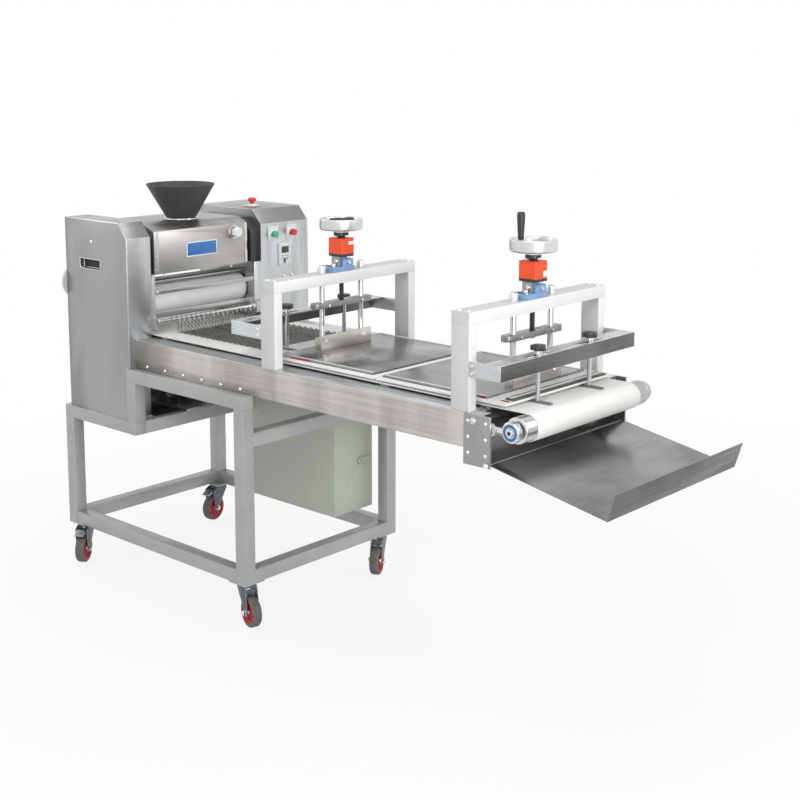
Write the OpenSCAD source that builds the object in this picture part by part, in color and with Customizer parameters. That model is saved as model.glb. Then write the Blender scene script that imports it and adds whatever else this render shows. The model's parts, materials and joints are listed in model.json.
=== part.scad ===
// Dough moulder: a sheeting head over a long belt, with two pressure boards.
// Sizes are in millimetres. X runs towards the discharge tray, Y across, Z up.

/* [Frame] */
// Length of the welded frame
frame_len = 865; // [820:1:1000]
// Width of the welded frame
frame_w = 640; // [620:1:660]
// Outer size of the square tube
tube = 40; // [34:1:42]
// Wall of the square tube
tube_wall = 2; // [1.5:0.5:3]
// Front face of the step up behind the head
step_x = 369; // [360:1:380]
// Height of the seat of the two side housings
seat_z = 524; // [500:1:540]
// Height of the top of the deck rails
deck_z = 688; // [680:1:720]
// Underside of the upper front crossbar
front_bar_z = 536; // [420:1:600]
// Level of the bottom rails above the castors
low_rail_lift = 0; // [0:1:60]

/* [Castors] */
// Overall height of a castor
castor_h = 131; // [125:1:150]
// Side of the square mounting plate
castor_plate = 75; // [70:1:90]
// Thickness of the mounting plate
castor_plate_t = 4; // [3:0.5:6]
// Wheel diameter
wheel_d = 90; // [76:1:94]
// Wheel width
wheel_w = 30; // [24:1:34]
// Distance from the swivel axis to the axle
castor_trail = 30; // [20:1:34]
// Axle diameter
axle_d = 10; // [8:1:14]
// Swivel angle of the rear near castor
yaw_rear_near = -56; // [-60:1:-50]
// Swivel angle of the rear far castor
yaw_rear_far = -80; // [-90:1:-70]
// Swivel angle of the front near castor
yaw_front_near = -16; // [-25:1:-5]
// Swivel angle of the front far castor
yaw_front_far = -62; // [-70:1:-50]

/* [Housings] */
// Front face of both side housings
housing_front = 346; // [340:1:350]
// Rear face of both side housings
housing_rear = 30; // [20:1:40]
// Height of the top of the housings
housing_top = 1135; // [1120:1:1180]
// Depth of the sloping front top edge
chamfer_x = 41; // [20:1:60]
// Height of the sloping front top edge
chamfer_z = 46; // [20:1:60]
// Outer face of the near housing
near_y = 5; // [4:1:8]
// Width of the near housing
near_w = 87; // [80:1:87]
// Inner face of the far housing
far_y = 546; // [546:1:552]
// Width of the far housing
far_w = 213; // [180:1:240]
// Thickness of the housing sheet
sheet = 2.5; // [1.5:0.5:3]
// Thickness of the outer covers
cover_t = 3; // [2:0.5:4]

/* [Sheeting head] */
// Radius of the sheeting rollers
roll_r = 48; // [40:1:50]
// Nip between the two sheeting rollers
roll_gap = 8; // [6:1:14]
// Height of the roller axes
roll_z = 880; // [870:1:886]
// Place of the nip along the machine
nip_x = 217; // [214:1:220]
// Radius of the roller shafts
roll_shaft_r = 15; // [12:1:18]
// Near inner face of the head
head_y0 = 103; // [100:1:106]
// Far inner face of the head
head_y1 = 510; // [505:1:512]
// Gear teeth on each sheeting roller
gear_teeth = 24; // [20:4:28]
// Width of the roller gears
gear_w = 20; // [12:1:24]
// Top of the head side plates
plate_top = 968; // [960:1:980]
// Diameter of the chain mesh bar
mesh_bar_d = 12; // [10:1:14]
// Height of the chain mesh bar
mesh_bar_z = 822; // [818:1:826]

/* [Hood and hopper] */
// Near edge of the hood
hood_y0 = 106; // [105:1:110]
// Far edge of the hood
hood_y1 = 485; // [470:1:486]
// Top of the hood
hood_top = 1119; // [1110:1:1125]
// Rear edge of the hood
hood_rear = 75; // [60:1:90]
// Hopper mouth diameter
hopper_mouth = 219; // [180:1:240]
// Hopper base diameter
hopper_base = 95; // [80:1:110]
// Hopper height above its ring
hopper_h = 107; // [80:1:140]
// Hopper wall
hopper_wall = 2.5; // [2:0.5:4]

/* [Conveyor] */
// End of the side beams
beam_end = 1700; // [1690:1:1710]
// Height of the side beams
beam_h = 89; // [80:1:95]
// Outer face of the near beam
beam_y = 28; // [24:1:32]
// Width of the beam flanges
beam_flange = 40; // [34:1:44]
// Thickness of the beam sheet
beam_t = 3; // [2:0.5:4]
// Belt width
belt_w = 448; // [420:1:450]
// Belt thickness
belt_t = 2; // [1.5:0.5:3]
// Height of the belt surface over the side beams
belt_rise = 7; // [5:1:12]
// Radius of the belt rollers
belt_roll_r = 33; // [28:1:36]
// Axis of the end roller
end_roll_x = 1786; // [1780:1:1800]
// Axis of the drive roller
drive_roll_x = 105; // [95:1:115]
// Gap between the end roller and its bearings
end_roll_gap = 8; // [4:1:20]
// Radius of the belt roller shafts
belt_shaft_r = 10; // [8:1:12]

/* [Gantries and boards] */
// Centre of the rear gantry
gantry1_x = 942; // [935:1:950]
// Centre of the front gantry
gantry2_x = 1630; // [1624:1:1634]
// Width of a gantry along the machine
gantry_w = 56; // [50:1:60]
// Thickness of the gantry posts
post_t = 30; // [26:1:34]
// Height of the gantry top
gantry_top = 1022; // [1010:1:1040]
// Depth of the gantry beam
gantry_beam = 32; // [28:1:36]
// Distance between the two guide rods
rod_pitch = 160; // [150:1:180]
// Guide rod diameter
rod_d = 16; // [14:1:18]
// Screw diameter
screw_d = 14; // [12:1:16]
// Travel of a pressure board
board_travel = 45; // [30:1:48]
// Gap between the belt and a lowered board
board_gap = 6; // [5:1:10]
// Thickness of the white board base
board_base_t = 6; // [4:1:8]
// Thickness of the steel face
board_face_t = 5; // [3:1:6]
// Room left over a raised crosshead
lift_room = 9; // [4:1:30]
// Handwheel diameter
handwheel_d = 125; // [100:1:140]
// Width of the handwheel rim
rim_h = 32; // [24:1:36]
// Radius of the crank grip's pivot
grip_r = 40; // [38:1:41]
// Length of the crank grip
grip_len = 71; // [60:1:74]

/* [Side guides] */
// Start of the front guide carrier's channel
carrier2_x = 1705; // [1700:1:1712]
// Width of a carrier's channel
carrier_w = 50; // [44:1:54]
// Top of the front guide carrier
carrier2_top = 905; // [895:1:910]
// Top of the rear guide carrier
carrier1_top = 895; // [885:1:905]
// Travel of a side guide each way
guide_travel = 45; // [20:1:45]
// Pin diameter of a side guide
guide_pin_d = 12; // [10:1:14]
// Reach of a side guide's foot towards its board
foot_reach = 58; // [40:1:60]
// Reach of a front guide's foot away from its board
foot_tail = 42; // [30:1:46]

/* [Cabinet and tray] */
// Length of the cabinet
cab_len = 390; // [340:1:400]
// Share of the free length under the deck that lies behind the cabinet
cab_share = 0.32; // [0.28:0.01:0.4]
// Depth of the cabinet's box
cab_d = 152; // [140:1:158]
// Floor of the cabinet
cab_z0 = 206; // [190:1:240]
// Length of the tray along its slope
tray_len = 346; // [300:1:380]
// Slope of the tray in degrees
tray_slope = 10.3; // [8:0.1:11]
// Height of the tray's end lip
tray_lip = 70; // [50:1:80]
// Thickness of the tray sheet
tray_t = 2; // [1.5:0.5:3]

/* [Clearances] */
// Gap between faces that move past each other
gap = 0.3; // [0.25:0.05:0.4]
// Radial clearance of a shaft in its bore
fit = 0.1; // [0.08:0.01:0.1]

/* [Hidden] */
$fn = 48;

// Frame
mid_y = frame_w / 2;
leg_z0 = castor_h;
plate_z0 = castor_h - castor_plate_t;
rail_z0 = castor_h + low_rail_lift;
seat_rail_z = seat_z - tube;
deck_rail_z = deck_z - tube;
step_x0 = step_x - tube;
swivel_near_y = castor_plate / 2;
swivel_far_y = frame_w - castor_plate / 2;
swivel_rear_x = castor_plate / 2;
swivel_front_x = frame_len - castor_plate / 2;

// Castors
wheel_r = wheel_d / 2;
axle_z = wheel_r;
crown_t = 5;
crown_z = plate_z0 - crown_t - 6;
cheek_t = 3;
cheek_y = wheel_w / 2 + 2;
pedal_x = castor_trail + 12;
pedal_z = crown_z - 10;
pedal_pin_r = 3;

// Housings
near_in = near_y + near_w;
far_out = far_y + far_w;
chamfer_len = sqrt(chamfer_x * chamfer_x + chamfer_z * chamfer_z);

// Head
roll_c = 2 * roll_r + roll_gap;
front_roll_x = nip_x + roll_c / 2;
rear_roll_x = nip_x - roll_c / 2;
gear_m = roll_c / gear_teeth;
gear_y = near_y + 38;
plate_rear = 92;
plate_front = housing_front + 5;
plate_bottom = 800;
mesh_bar_x = plate_front;

// Conveyor
beam_z0 = deck_z;
beam_top = deck_z + beam_h;
belt_top = beam_top + belt_rise;
roll_axis_z = belt_top - belt_t - belt_roll_r;
belt_y0 = mid_y - belt_w / 2;
plate_end = beam_end + 31;
end_plate_len = 82;
end_plate_x = plate_end - end_plate_len;
end_plate_z = 650;
end_plate_t = 6;

// Gantries and boards
gantry_z0 = beam_top;
gantry_beam_z = gantry_top - gantry_beam;
post_y = beam_y + 1;
far_post_y = frame_w - post_y - post_t;
board_z = belt_top + board_gap;
face_z = board_z + board_base_t;
board_top = face_z + board_face_t;
rod_y0 = mid_y - rod_pitch / 2;
rod_y1 = mid_y + rod_pitch / 2;
bush_h = 18;
bush_r = rod_d / 2 + 4;
rod_top = gantry_top + bush_h + 1;
crosshead_h = 15;
crosshead_z = gantry_beam_z - lift_room - board_travel - crosshead_h;
casting_top = gantry_top + 42;
indicator_base = 8;
indicator_top = casting_top + indicator_base + 45;
wheel_z0 = indicator_top + 24;
web_t = 6;
grip_z = wheel_z0 + 25;
grip_tongue = 8;
grip_pin_r = 2.5;

// Side guides
carrier1_x = gantry1_x - 152;
carrier_t = 3;
pin_x2 = carrier2_x + carrier_w / 2 + 8;
pin_x1 = carrier1_x + carrier_w / 2;
guides2 = [mid_y - 118, mid_y + 105];
guides1 = [mid_y - 100, mid_y + 140];
slot_w = guide_pin_d + 1;

// Cabinet and tray
cab_x0 = step_x + (frame_len - tube - step_x - cab_len) * cab_share;
cab_x1 = cab_x0 + cab_len;
cab_y1 = frame_w - tube;
cab_y0 = cab_y1 - cab_d;
cab_top = deck_rail_z - 8;
door_t = 20;
hinge_r = 5;
tray_x = plate_end - 7;
tray_z = end_plate_z + 8;
tray_pin_r = 4;
lip_lean = 7;
tray_y0 = beam_y + 1;
tray_y1 = frame_w - tray_y0;

// Rear cap
cap_r = 56;
cap_len = 20;

// The part's own origin: the middle of its footprint, on the floor
low_x = housing_rear - cap_len;
high_x = tray_x + cos(tray_slope) * (tray_len + tray_lip * sin(lip_lean))
  + sin(tray_slope) * (tray_lip * cos(lip_lean) - tray_t);
low_y = swivel_near_y + castor_trail * sin(yaw_rear_near)
  - wheel_r * abs(sin(yaw_rear_near)) - wheel_w / 2 * abs(cos(yaw_rear_near));
high_y = far_out + cover_t;
origin_x = (low_x + high_x) / 2;
origin_y = (low_y + high_y) / 2;

// Shared shapes

// Moves a shape from the machine's corner to the part's origin.
module placed() {
  translate([-origin_x, -origin_y, 0]) children();
}

// A cylinder along Y, from y0 to y1.
module rod_y(x, z, r, y0, y1) {
  translate([x, y0, z]) rotate([-90, 0, 0]) cylinder(r = r, h = y1 - y0);
}

// A cylinder along X, from x0 to x1.
module rod_x(y, z, r, x0, x1) {
  translate([x0, y, z]) rotate([0, 90, 0]) cylinder(r = r, h = x1 - x0);
}

// A cylinder along Z, from z0 to z1.
module rod_z(x, y, r, z0, z1) {
  translate([x, y, z0]) cylinder(r = r, h = z1 - z0);
}

// A box between two corners.
module box(a, b) {
  translate(a) cube(b - a);
}

// A flat outline in X and Z, given thickness along Y.
module slab_y(y0, y1) {
  translate([0, y1, 0]) rotate([90, 0, 0]) linear_extrude(height = y1 - y0) children();
}

// A flat outline in Y and Z, given thickness along X.
module slab_x(x0, x1) {
  translate([x0, 0, 0]) rotate([90, 0, 90]) linear_extrude(height = x1 - x0) children();
}

// An open-ended square tube along X.
module tube_x(x0, x1, y, z) {
  difference() {
    box([x0, y, z], [x1, y + tube, z + tube]);
    box([x0 - 1, y + tube_wall, z + tube_wall], [x1 + 1, y + tube - tube_wall, z + tube - tube_wall]);
  }
}

// An open-ended square tube along Y.
module tube_y(y0, y1, x, z) {
  difference() {
    box([x, y0, z], [x + tube, y1, z + tube]);
    box([x + tube_wall, y0 - 1, z + tube_wall], [x + tube - tube_wall, y1 + 1, z + tube - tube_wall]);
  }
}

// A square tube along X with both ends closed by welded caps.
module capped_tube_x(x0, x1, y, z) {
  difference() {
    box([x0, y, z], [x1, y + tube, z + tube]);
    box([x0 + tube_wall, y + tube_wall, z + tube_wall],
      [x1 - tube_wall, y + tube - tube_wall, z + tube - tube_wall]);
  }
}

// An upright square tube.
module tube_z(x, y, z0, z1) {
  difference() {
    box([x, y, z0], [x + tube, y + tube, z1]);
    box([x + tube_wall, y + tube_wall, z0 - 1], [x + tube - tube_wall, y + tube - tube_wall, z1 + 1]);
  }
}

// Frame

// One leg with the castor's mounting plate welded under it.
module leg(front, far, top) {
  x = front ? frame_len - tube : 0;
  y = far ? frame_w - tube : 0;
  px = front ? frame_len - castor_plate : 0;
  py = far ? frame_w - castor_plate : 0;
  tube_z(x, y, leg_z0, top);
  box([px, py, plate_z0], [px + castor_plate, py + castor_plate, leg_z0]);
}

module frame_legs() {
  color("silver") placed() {
    for (far = [false, true]) {
      leg(false, far, seat_rail_z);
      leg(true, far, deck_rail_z);
      tube_z(step_x0, far ? frame_w - tube : 0, seat_z, deck_rail_z);
    }
  }
}

module frame_rails() {
  color("silver") placed() {
    for (y = [0, frame_w - tube]) {
      tube_x(tube, frame_len - tube, y, rail_z0);
      capped_tube_x(0, step_x, y, seat_rail_z);
      capped_tube_x(step_x0, frame_len, y, deck_rail_z);
    }
  }
}

module frame_crossbars() {
  color("silver") placed() {
    for (x = [0, frame_len - tube]) tube_y(tube, frame_w - tube, x, rail_z0);
    for (x = [0, step_x0]) tube_y(tube, frame_w - tube, x, seat_rail_z);
    tube_y(tube, frame_w - tube, frame_len - tube, front_bar_z);
  }
}

// Castors

// Places a castor's own shape, whose +X is the way the wheel trails.
module castor_at(x, y, yaw) {
  placed() translate([x, y, 0]) rotate([0, 0, yaw]) children();
}

// One side cheek of a fork, with an ear for the brake where it has one.
module cheek(braked) {
  ear = braked ? [[pedal_x + 7, pedal_z + 6], [pedal_x + 7, pedal_z - 6]] : [[castor_trail, crown_z]];
  polygon(concat(
    [[-22, crown_z + crown_t], [castor_trail - 2, crown_z + crown_t]],
    ear,
    [
      [castor_trail + 12, axle_z + 8],
      [castor_trail + 9, axle_z - 9],
      [castor_trail - 9, axle_z - 9],
      [castor_trail - 13, axle_z + 8],
      [-22, crown_z - 8]
    ]
  ));
}

// A swivel fork with its axle.
module fork(braked) {
  difference() {
    union() {
      rod_z(0, 0, 24, crown_z + crown_t, plate_z0 - gap);
      box([-22, -cheek_y - cheek_t, crown_z], [castor_trail - 2, cheek_y + cheek_t, crown_z + crown_t]);
      slab_y(cheek_y, cheek_y + cheek_t) cheek(braked);
      slab_y(-cheek_y - cheek_t, -cheek_y) cheek(braked);
      rod_y(castor_trail, axle_z, axle_d / 2, -cheek_y - cheek_t - 4, cheek_y + cheek_t + 4);
    }
    if (braked) rod_y(pedal_x, pedal_z, pedal_pin_r + fit, -cheek_y - 9, cheek_y + 9);
  }
}

// A wheel with rounded tread and recessed sides.
module wheel() {
  hub = cheek_y - gap;
  translate([castor_trail, 0, axle_z]) rotate([90, 0, 0]) rotate_extrude($fn = 96) polygon([
    [axle_d / 2 + fit, -hub],
    [axle_d / 2 + 7, -hub],
    [axle_d / 2 + 7, -wheel_w / 2 + 5],
    [wheel_r - 12, -wheel_w / 2 + 3],
    [wheel_r - 10, -wheel_w / 2],
    [wheel_r - 2, -wheel_w / 2],
    [wheel_r, -wheel_w / 2 + 3],
    [wheel_r, wheel_w / 2 - 3],
    [wheel_r - 2, wheel_w / 2],
    [wheel_r - 10, wheel_w / 2],
    [wheel_r - 12, wheel_w / 2 - 3],
    [axle_d / 2 + 7, wheel_w / 2 - 5],
    [axle_d / 2 + 7, hub],
    [axle_d / 2 + fit, hub]
  ]);
}

// A brake pedal on its pin, with ribs to step on.
module pedal() {
  w = cheek_y - 2;
  rod_y(pedal_x, pedal_z, pedal_pin_r, -cheek_y - cheek_t - 1, cheek_y + cheek_t + 1);
  slab_y(-w, w) polygon([
    [pedal_x - 7, pedal_z + 1],
    [pedal_x - 5, pedal_z + 6],
    [pedal_x + 7, pedal_z + 6],
    [pedal_x + 30, pedal_z - 6],
    [pedal_x + 29, pedal_z - 9],
    [pedal_x + 4, pedal_z - 5]
  ]);
  for (i = [0:3]) translate([pedal_x + 9 + 5 * i, 0, pedal_z + 4.5 - 2.6 * i])
    rotate([0, 27.5, 0]) cube([2, 2 * w - 4, 4], center = true);
}

module rear_near_fork() {
  color("darkgray") castor_at(swivel_rear_x, swivel_near_y, yaw_rear_near) fork(true);
}

module rear_far_fork() {
  color("darkgray") castor_at(swivel_rear_x, swivel_far_y, yaw_rear_far) fork(true);
}

module front_near_fork() {
  color("darkgray") castor_at(swivel_front_x, swivel_near_y, yaw_front_near) fork(false);
}

module front_far_fork() {
  color("darkgray") castor_at(swivel_front_x, swivel_far_y, yaw_front_far) fork(false);
}

module rear_near_wheel() {
  color("firebrick") castor_at(swivel_rear_x, swivel_near_y, yaw_rear_near) wheel();
}

module rear_far_wheel() {
  color("firebrick") castor_at(swivel_rear_x, swivel_far_y, yaw_rear_far) wheel();
}

module front_near_wheel() {
  color("firebrick") castor_at(swivel_front_x, swivel_near_y, yaw_front_near) wheel();
}

module front_far_wheel() {
  color("firebrick") castor_at(swivel_front_x, swivel_far_y, yaw_front_far) wheel();
}

module near_brake_pedal() {
  color("lightgray") castor_at(swivel_rear_x, swivel_near_y, yaw_rear_near) pedal();
}

module far_brake_pedal() {
  color("lightgray") castor_at(swivel_rear_x, swivel_far_y, yaw_rear_far) pedal();
}

// Housings

// Outline of a side housing, drawn in by a wall and notched for the frame's step.
module housing_outline(inset) {
  cut = chamfer_z * housing_front + chamfer_x * (housing_top - chamfer_z) - inset * chamfer_len;
  x1 = housing_front - inset;
  z1 = housing_top - inset;
  polygon([
    [housing_rear + inset, seat_z + inset],
    [step_x0 - inset, seat_z + inset],
    [step_x0 - inset, deck_z + inset],
    [x1, deck_z + inset],
    [x1, (cut - chamfer_z * x1) / chamfer_x],
    [(cut - chamfer_x * z1) / chamfer_z, z1],
    [housing_rear + inset, z1]
  ]);
}

// Clearance holes for the roller shafts through a housing's inner wall.
module shaft_holes(y0, y1) {
  for (x = [rear_roll_x, front_roll_x]) rod_y(x, roll_z, roll_shaft_r + 3, y0, y1);
}

// The wall's bearing hole for the drive roller's shaft.
module drive_hole(y0, y1) {
  rod_y(drive_roll_x, roll_axis_z, belt_shaft_r + fit, y0, y1);
}

module near_housing() {
  color("gainsboro") placed() difference() {
    slab_y(near_y, near_in) housing_outline(0);
    slab_y(near_y - 1, near_in - sheet) housing_outline(sheet);
    shaft_holes(near_in - sheet - 1, near_in + 1);
    drive_hole(near_in - sheet - 1, near_in + 1);
  }
}

module far_housing() {
  color("gainsboro") placed() difference() {
    slab_y(far_y, far_out) housing_outline(0);
    slab_y(far_y + sheet, far_out + 1) housing_outline(sheet);
    shaft_holes(far_y - 1, far_y + sheet + 1);
    drive_hole(far_y - 1, far_y + sheet + 1);
    rod_z(stop_x, stop_y, stop_stem_r + fit, housing_top - sheet - 1, housing_top + 1);
    for (y = button_y) rod_x(y, button_z, button_stem_r + fit, housing_front - sheet - 1, housing_front + 1);
  }
}

// Recessed pull in the near cover
pull_x0 = 107;
pull_x1 = 210;
pull_z0 = 982;
pull_z1 = 1011;
pull_d = 14;
pull_wall = 2;

module housing_covers() {
  color("lightgray") placed() {
    difference() {
      union() {
        slab_y(near_y - cover_t, near_y) housing_outline(0);
        box([pull_x0 - pull_wall, near_y - cover_t, pull_z0 - pull_wall],
          [pull_x1 + pull_wall, near_y + pull_d, pull_z1 + pull_wall]);
      }
      box([pull_x0, near_y - cover_t - 1, pull_z0], [pull_x1, near_y + pull_d - pull_wall, pull_z1]);
    }
    slab_y(far_out, far_out + cover_t) housing_outline(0);
  }
}

// Sheeting head
cheek_front = 335;
cheek_top = 1112;

// One side of the head, from y0 to y1.
module head_side(y0, y1) {
  slab_y(y0, y1) polygon([
    [plate_rear, plate_bottom],
    [plate_front + 10, plate_bottom],
    [plate_front + 10, plate_bottom + 36],
    [plate_front, plate_bottom + 42],
    [plate_front, plate_top],
    [cheek_front, plate_top],
    [cheek_front, cheek_top - 46],
    [cheek_front - 40, cheek_top],
    [plate_rear, cheek_top]
  ]);
}

module head_side_plates() {
  color("dimgray") placed() difference() {
    union() {
      head_side(near_in, head_y0);
      head_side(head_y1, far_y);
    }
    for (x = [rear_roll_x, front_roll_x]) {
      rod_y(x, roll_z, roll_shaft_r + fit, near_in - 1, head_y0 + 1);
      rod_y(x, roll_z, roll_shaft_r + fit, head_y1 - 1, far_y + 1);
    }
    rod_y(hood_hinge_x, hood_hinge_z, hood_pin_r + fit, near_in + 3, head_y0 + 1);
    rod_y(hood_hinge_x, hood_hinge_z, hood_pin_r + fit, head_y1 - 1, head_y1 + 12);
  }
}

guard_z = roll_z + 27;
guard_h = 14;
wiper_z = roll_z + roll_r + 8;
ledge_z = mesh_bar_z + 7;
ledge_h = 19;
bar_collar_r = mesh_bar_d / 2 + 5;

// Flat guard bar, roller wiper strip, dough ledge and the bar that carries the mesh.
module head_crossbars() {
  color("silver") placed() {
    box([plate_front - 8, head_y0, guard_z], [plate_front - 2, head_y1, guard_z + guard_h]);
    box([front_roll_x - 8, head_y0, wiper_z], [front_roll_x + 36, head_y1, wiper_z + 6]);
    box([plate_front - 24, head_y0, ledge_z], [plate_front - 20, head_y1, ledge_z + ledge_h]);
    rod_y(mesh_bar_x, mesh_bar_z, mesh_bar_d / 2, head_y0, head_y1);
    rod_y(mesh_bar_x, mesh_bar_z, bar_collar_r, head_y0 + 2, head_y0 + 14);
    rod_y(mesh_bar_x, mesh_bar_z, bar_collar_r, head_y1 - 14, head_y1 - 2);
  }
}

// Mesh of linked wire: a sheet of staggered diamond gaps
mesh_t = 3;
mesh_y0 = head_y0 + 57;
mesh_y1 = head_y1 - 18;
mesh_x0 = 385;
mesh_cols = 16;
mesh_rows = 15;
mesh_px = 24;
mesh_py = (mesh_y1 - mesh_y0) / mesh_rows;
mesh_wire = 3;
mesh_edge = 5;
drop_short = 4.1;
mesh_bar_r = mesh_bar_d / 2;
drop_dx = mesh_x0 - mesh_bar_x;
drop_dz = mesh_bar_z - belt_top;
drop_reach = sqrt(drop_dx * drop_dx + drop_dz * drop_dz);
drop_len = sqrt(drop_reach * drop_reach - mesh_bar_r * mesh_bar_r);
drop_angle = atan2(drop_dz, drop_dx) + asin(mesh_bar_r / drop_reach);

// One diamond gap.
module diamond(w, h) {
  polygon([[-w / 2, 0], [0, -h / 2], [w / 2, 0], [0, h / 2]]);
}

// Flat net that lies on the belt.
module net_flat() {
  difference() {
    translate([-mesh_edge, mesh_y0]) square([mesh_px * mesh_cols + 2 * mesh_edge, mesh_y1 - mesh_y0]);
    for (i = [0:mesh_cols - 1]) {
      for (j = [0:mesh_rows - 1 - (i % 2)]) {
        translate([mesh_px * (i + 0.5) + mesh_edge, mesh_y0 + mesh_py * (j + 0.5 + (i % 2) / 2)])
          diamond(mesh_px + 7, mesh_py - mesh_wire);
      }
    }
  }
}

module chain_mesh() {
  color("gray") placed() {
    translate([mesh_x0 + 2, 0, belt_top]) linear_extrude(height = mesh_t) net_flat();
    translate([mesh_bar_x, 0, mesh_bar_z]) rotate([0, drop_angle, 0])
    translate([0, 0, mesh_bar_r]) difference() {
      box([0, mesh_y0, 0], [drop_len - drop_short, mesh_y1, mesh_t]);
      for (j = [0:mesh_rows - 1]) {
        y = mesh_y0 + mesh_py * j + mesh_wire;
        box([7, y, -1], [drop_len - drop_short - 8, y + mesh_py - 2 * mesh_wire, mesh_t + 1]);
      }
    }
  }
}

// A spur gear outline with straight-flanked teeth and room in the gaps.
module gear_outline(phase) {
  pitch_r = gear_m * gear_teeth / 2;
  root = pitch_r - 1.2 * gear_m;
  tip = pitch_r + 0.85 * gear_m;
  step = 360 / gear_teeth;
  polygon([
    for (i = [0:gear_teeth - 1])
      for (p = [[root, -0.33], [tip, -0.13], [tip, 0.13], [root, 0.33]])
        [p[0] * cos((i + p[1]) * step + phase), p[0] * sin((i + p[1]) * step + phase)]
  ]);
}

// A sheeting roller with its shaft and its gear.
module sheeting_roller(x, phase) {
  drum_y0 = head_y0 + 2;
  drum_y1 = head_y1 - 2;
  rod_y(x, roll_z, roll_r, drum_y0, drum_y1, $fn = 128);
  rod_y(x, roll_z, roll_shaft_r, gear_y, far_y + 16);
  translate([x, gear_y + gear_w, roll_z]) rotate([90, 0, 0])
    linear_extrude(height = gear_w) gear_outline(phase);
}

module front_sheeting_roller() {
  color("white") placed() sheeting_roller(front_roll_x, 0);
}

module rear_sheeting_roller() {
  color("white") placed() sheeting_roller(rear_roll_x, 180 / gear_teeth);
}

// Hood
hood_t = 2;
hood_z0 = plate_top + 1;
hood_slope_x = 40;
hood_slope_z = 17;
hood_hinge_x = plate_rear + 12;
hood_hinge_z = hood_top - 20;
hood_pin_r = 5;
hopper_x = nip_x;
hopper_y = mid_y - 2;
spout_r = hopper_base / 2 - 3;
knob_y = hood_y1 - 55;
knob_z = hood_top - 45;
knob_r = 15;
hood_front = housing_front;

// Outline of the hood seen from the side, drawn in by its sheet.
module hood_outline(inset) {
  polygon([
    [hood_rear + inset, hood_z0 - (inset > 0 ? 1 : 0)],
    [hood_front - inset, hood_z0 - (inset > 0 ? 1 : 0)],
    [hood_front - inset, hood_top - hood_slope_z - inset * 0.4],
    [hood_front - hood_slope_x - inset * 0.4, hood_top - inset],
    [hood_rear + inset, hood_top - inset]
  ]);
}

module hood() {
  color("lightgray") placed() difference() {
    union() {
      difference() {
        slab_y(hood_y0, hood_y1) hood_outline(0);
        slab_y(hood_y0 + hood_t, hood_y1 - hood_t) hood_outline(hood_t);
      }
      rod_y(hood_hinge_x, hood_hinge_z, hood_pin_r, near_in + 4, head_y1 + 11);
      rod_z(hopper_x, hopper_y, hopper_base / 2 + 7, hood_top, hood_top + 3);
    }
    rod_z(hopper_x, hopper_y, spout_r + gap, hood_top - hood_t - 1, hood_top + 4);
    rod_x(knob_y, knob_z, knob_stem_r + fit, hood_front - hood_t - 1, hood_front + 1);
  }
}

module hopper() {
  z0 = hood_top + 3;
  w = hopper_wall;
  r0 = hopper_base / 2;
  r1 = hopper_mouth / 2;
  color("dimgray") placed() translate([hopper_x, hopper_y, 0]) rotate_extrude($fn = 128) polygon([
    [spout_r - w, z0 - 30],
    [spout_r, z0 - 30],
    [spout_r, z0],
    [r0, z0],
    [r1, z0 + hopper_h],
    [r1 - w, z0 + hopper_h],
    [r0 - w, z0 + w],
    [spout_r - w, z0]
  ]);
}

// Blank plate on the hood's front
badge_w = 124;
badge_h = 46;
badge_t = 1.5;
badge_y = (hood_y0 + hood_y1 - badge_w) / 2 - 0.5;
badge_z = hood_z0 + 43;

module hood_plate() {
  color("steelblue") placed() box([hood_front, badge_y, badge_z],
    [hood_front + badge_t, badge_y + badge_w, badge_z + badge_h]);
}

knob_stem_r = 5;

// Lock knob: a stem through the hood's front with a round grip and a catch.
module hood_knob() {
  color("white") placed() {
    rod_x(knob_y, knob_z, knob_stem_r, hood_front - hood_t - 6, hood_front + 4);
    rod_x(knob_y, knob_z, knob_r + 4, hood_front + gap, hood_front + 4);
    rod_x(knob_y, knob_z, knob_r - 3, hood_front + 4, hood_front + 9);
    rod_x(knob_y, knob_z, knob_r, hood_front + 9, hood_front + 26);
    box([hood_front - hood_t - 6, knob_y - 5, knob_z - 5],
      [hood_front - hood_t - gap, knob_y + 22, knob_z + 5]);
  }
}

// Controls
stop_x = nip_x + 5;
stop_y = far_y + 74;
stop_stem_r = 8;
stop_travel = 6;
button_y = [far_y + 55, far_y + 138];
button_z = housing_top - 83;
button_stem_r = 9;
button_travel = 3;
legend_w = 46;
legend_h = 46;
legend_drop = 20;
legend_t = 2;
bezel_r = 14;
keypad_w = 51;
keypad_h = 75;
keypad_t = 7;
keypad_y = far_y + 77;
keypad_z = housing_top - 192;
dial_y = keypad_y + keypad_w / 2;
dial_z = keypad_z + keypad_h / 5;
nut_pitch = 37;
nut_drop = 37;
nut_y = [dial_y - 3, dial_y - 3 + nut_pitch];
nut_z = keypad_z - nut_drop;

module control_panel() {
  color("whitesmoke") placed() difference() {
    union() {
      for (y = button_y) {
        box([housing_front, y - legend_w / 2, button_z - legend_drop],
          [housing_front + legend_t, y + legend_w / 2, button_z - legend_drop + legend_h]);
        rod_x(y, button_z, bezel_r, housing_front, housing_front + legend_t + 4);
      }
      box([housing_front, keypad_y, keypad_z],
        [housing_front + keypad_t, keypad_y + keypad_w, keypad_z + keypad_h]);
      rod_z(stop_x, stop_y, 30, housing_top, housing_top + 3);
      rod_z(stop_x, stop_y, 13, housing_top, housing_top + 9);
    }
    for (y = button_y) rod_x(y, button_z, button_stem_r + fit, housing_front - 1, housing_front + 12);
    rod_z(stop_x, stop_y, stop_stem_r + fit, housing_top - 1, housing_top + 12);
    rod_x(dial_y, dial_z, 3 + fit, housing_front + 2, housing_front + keypad_t + 1);
  }
}

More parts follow.
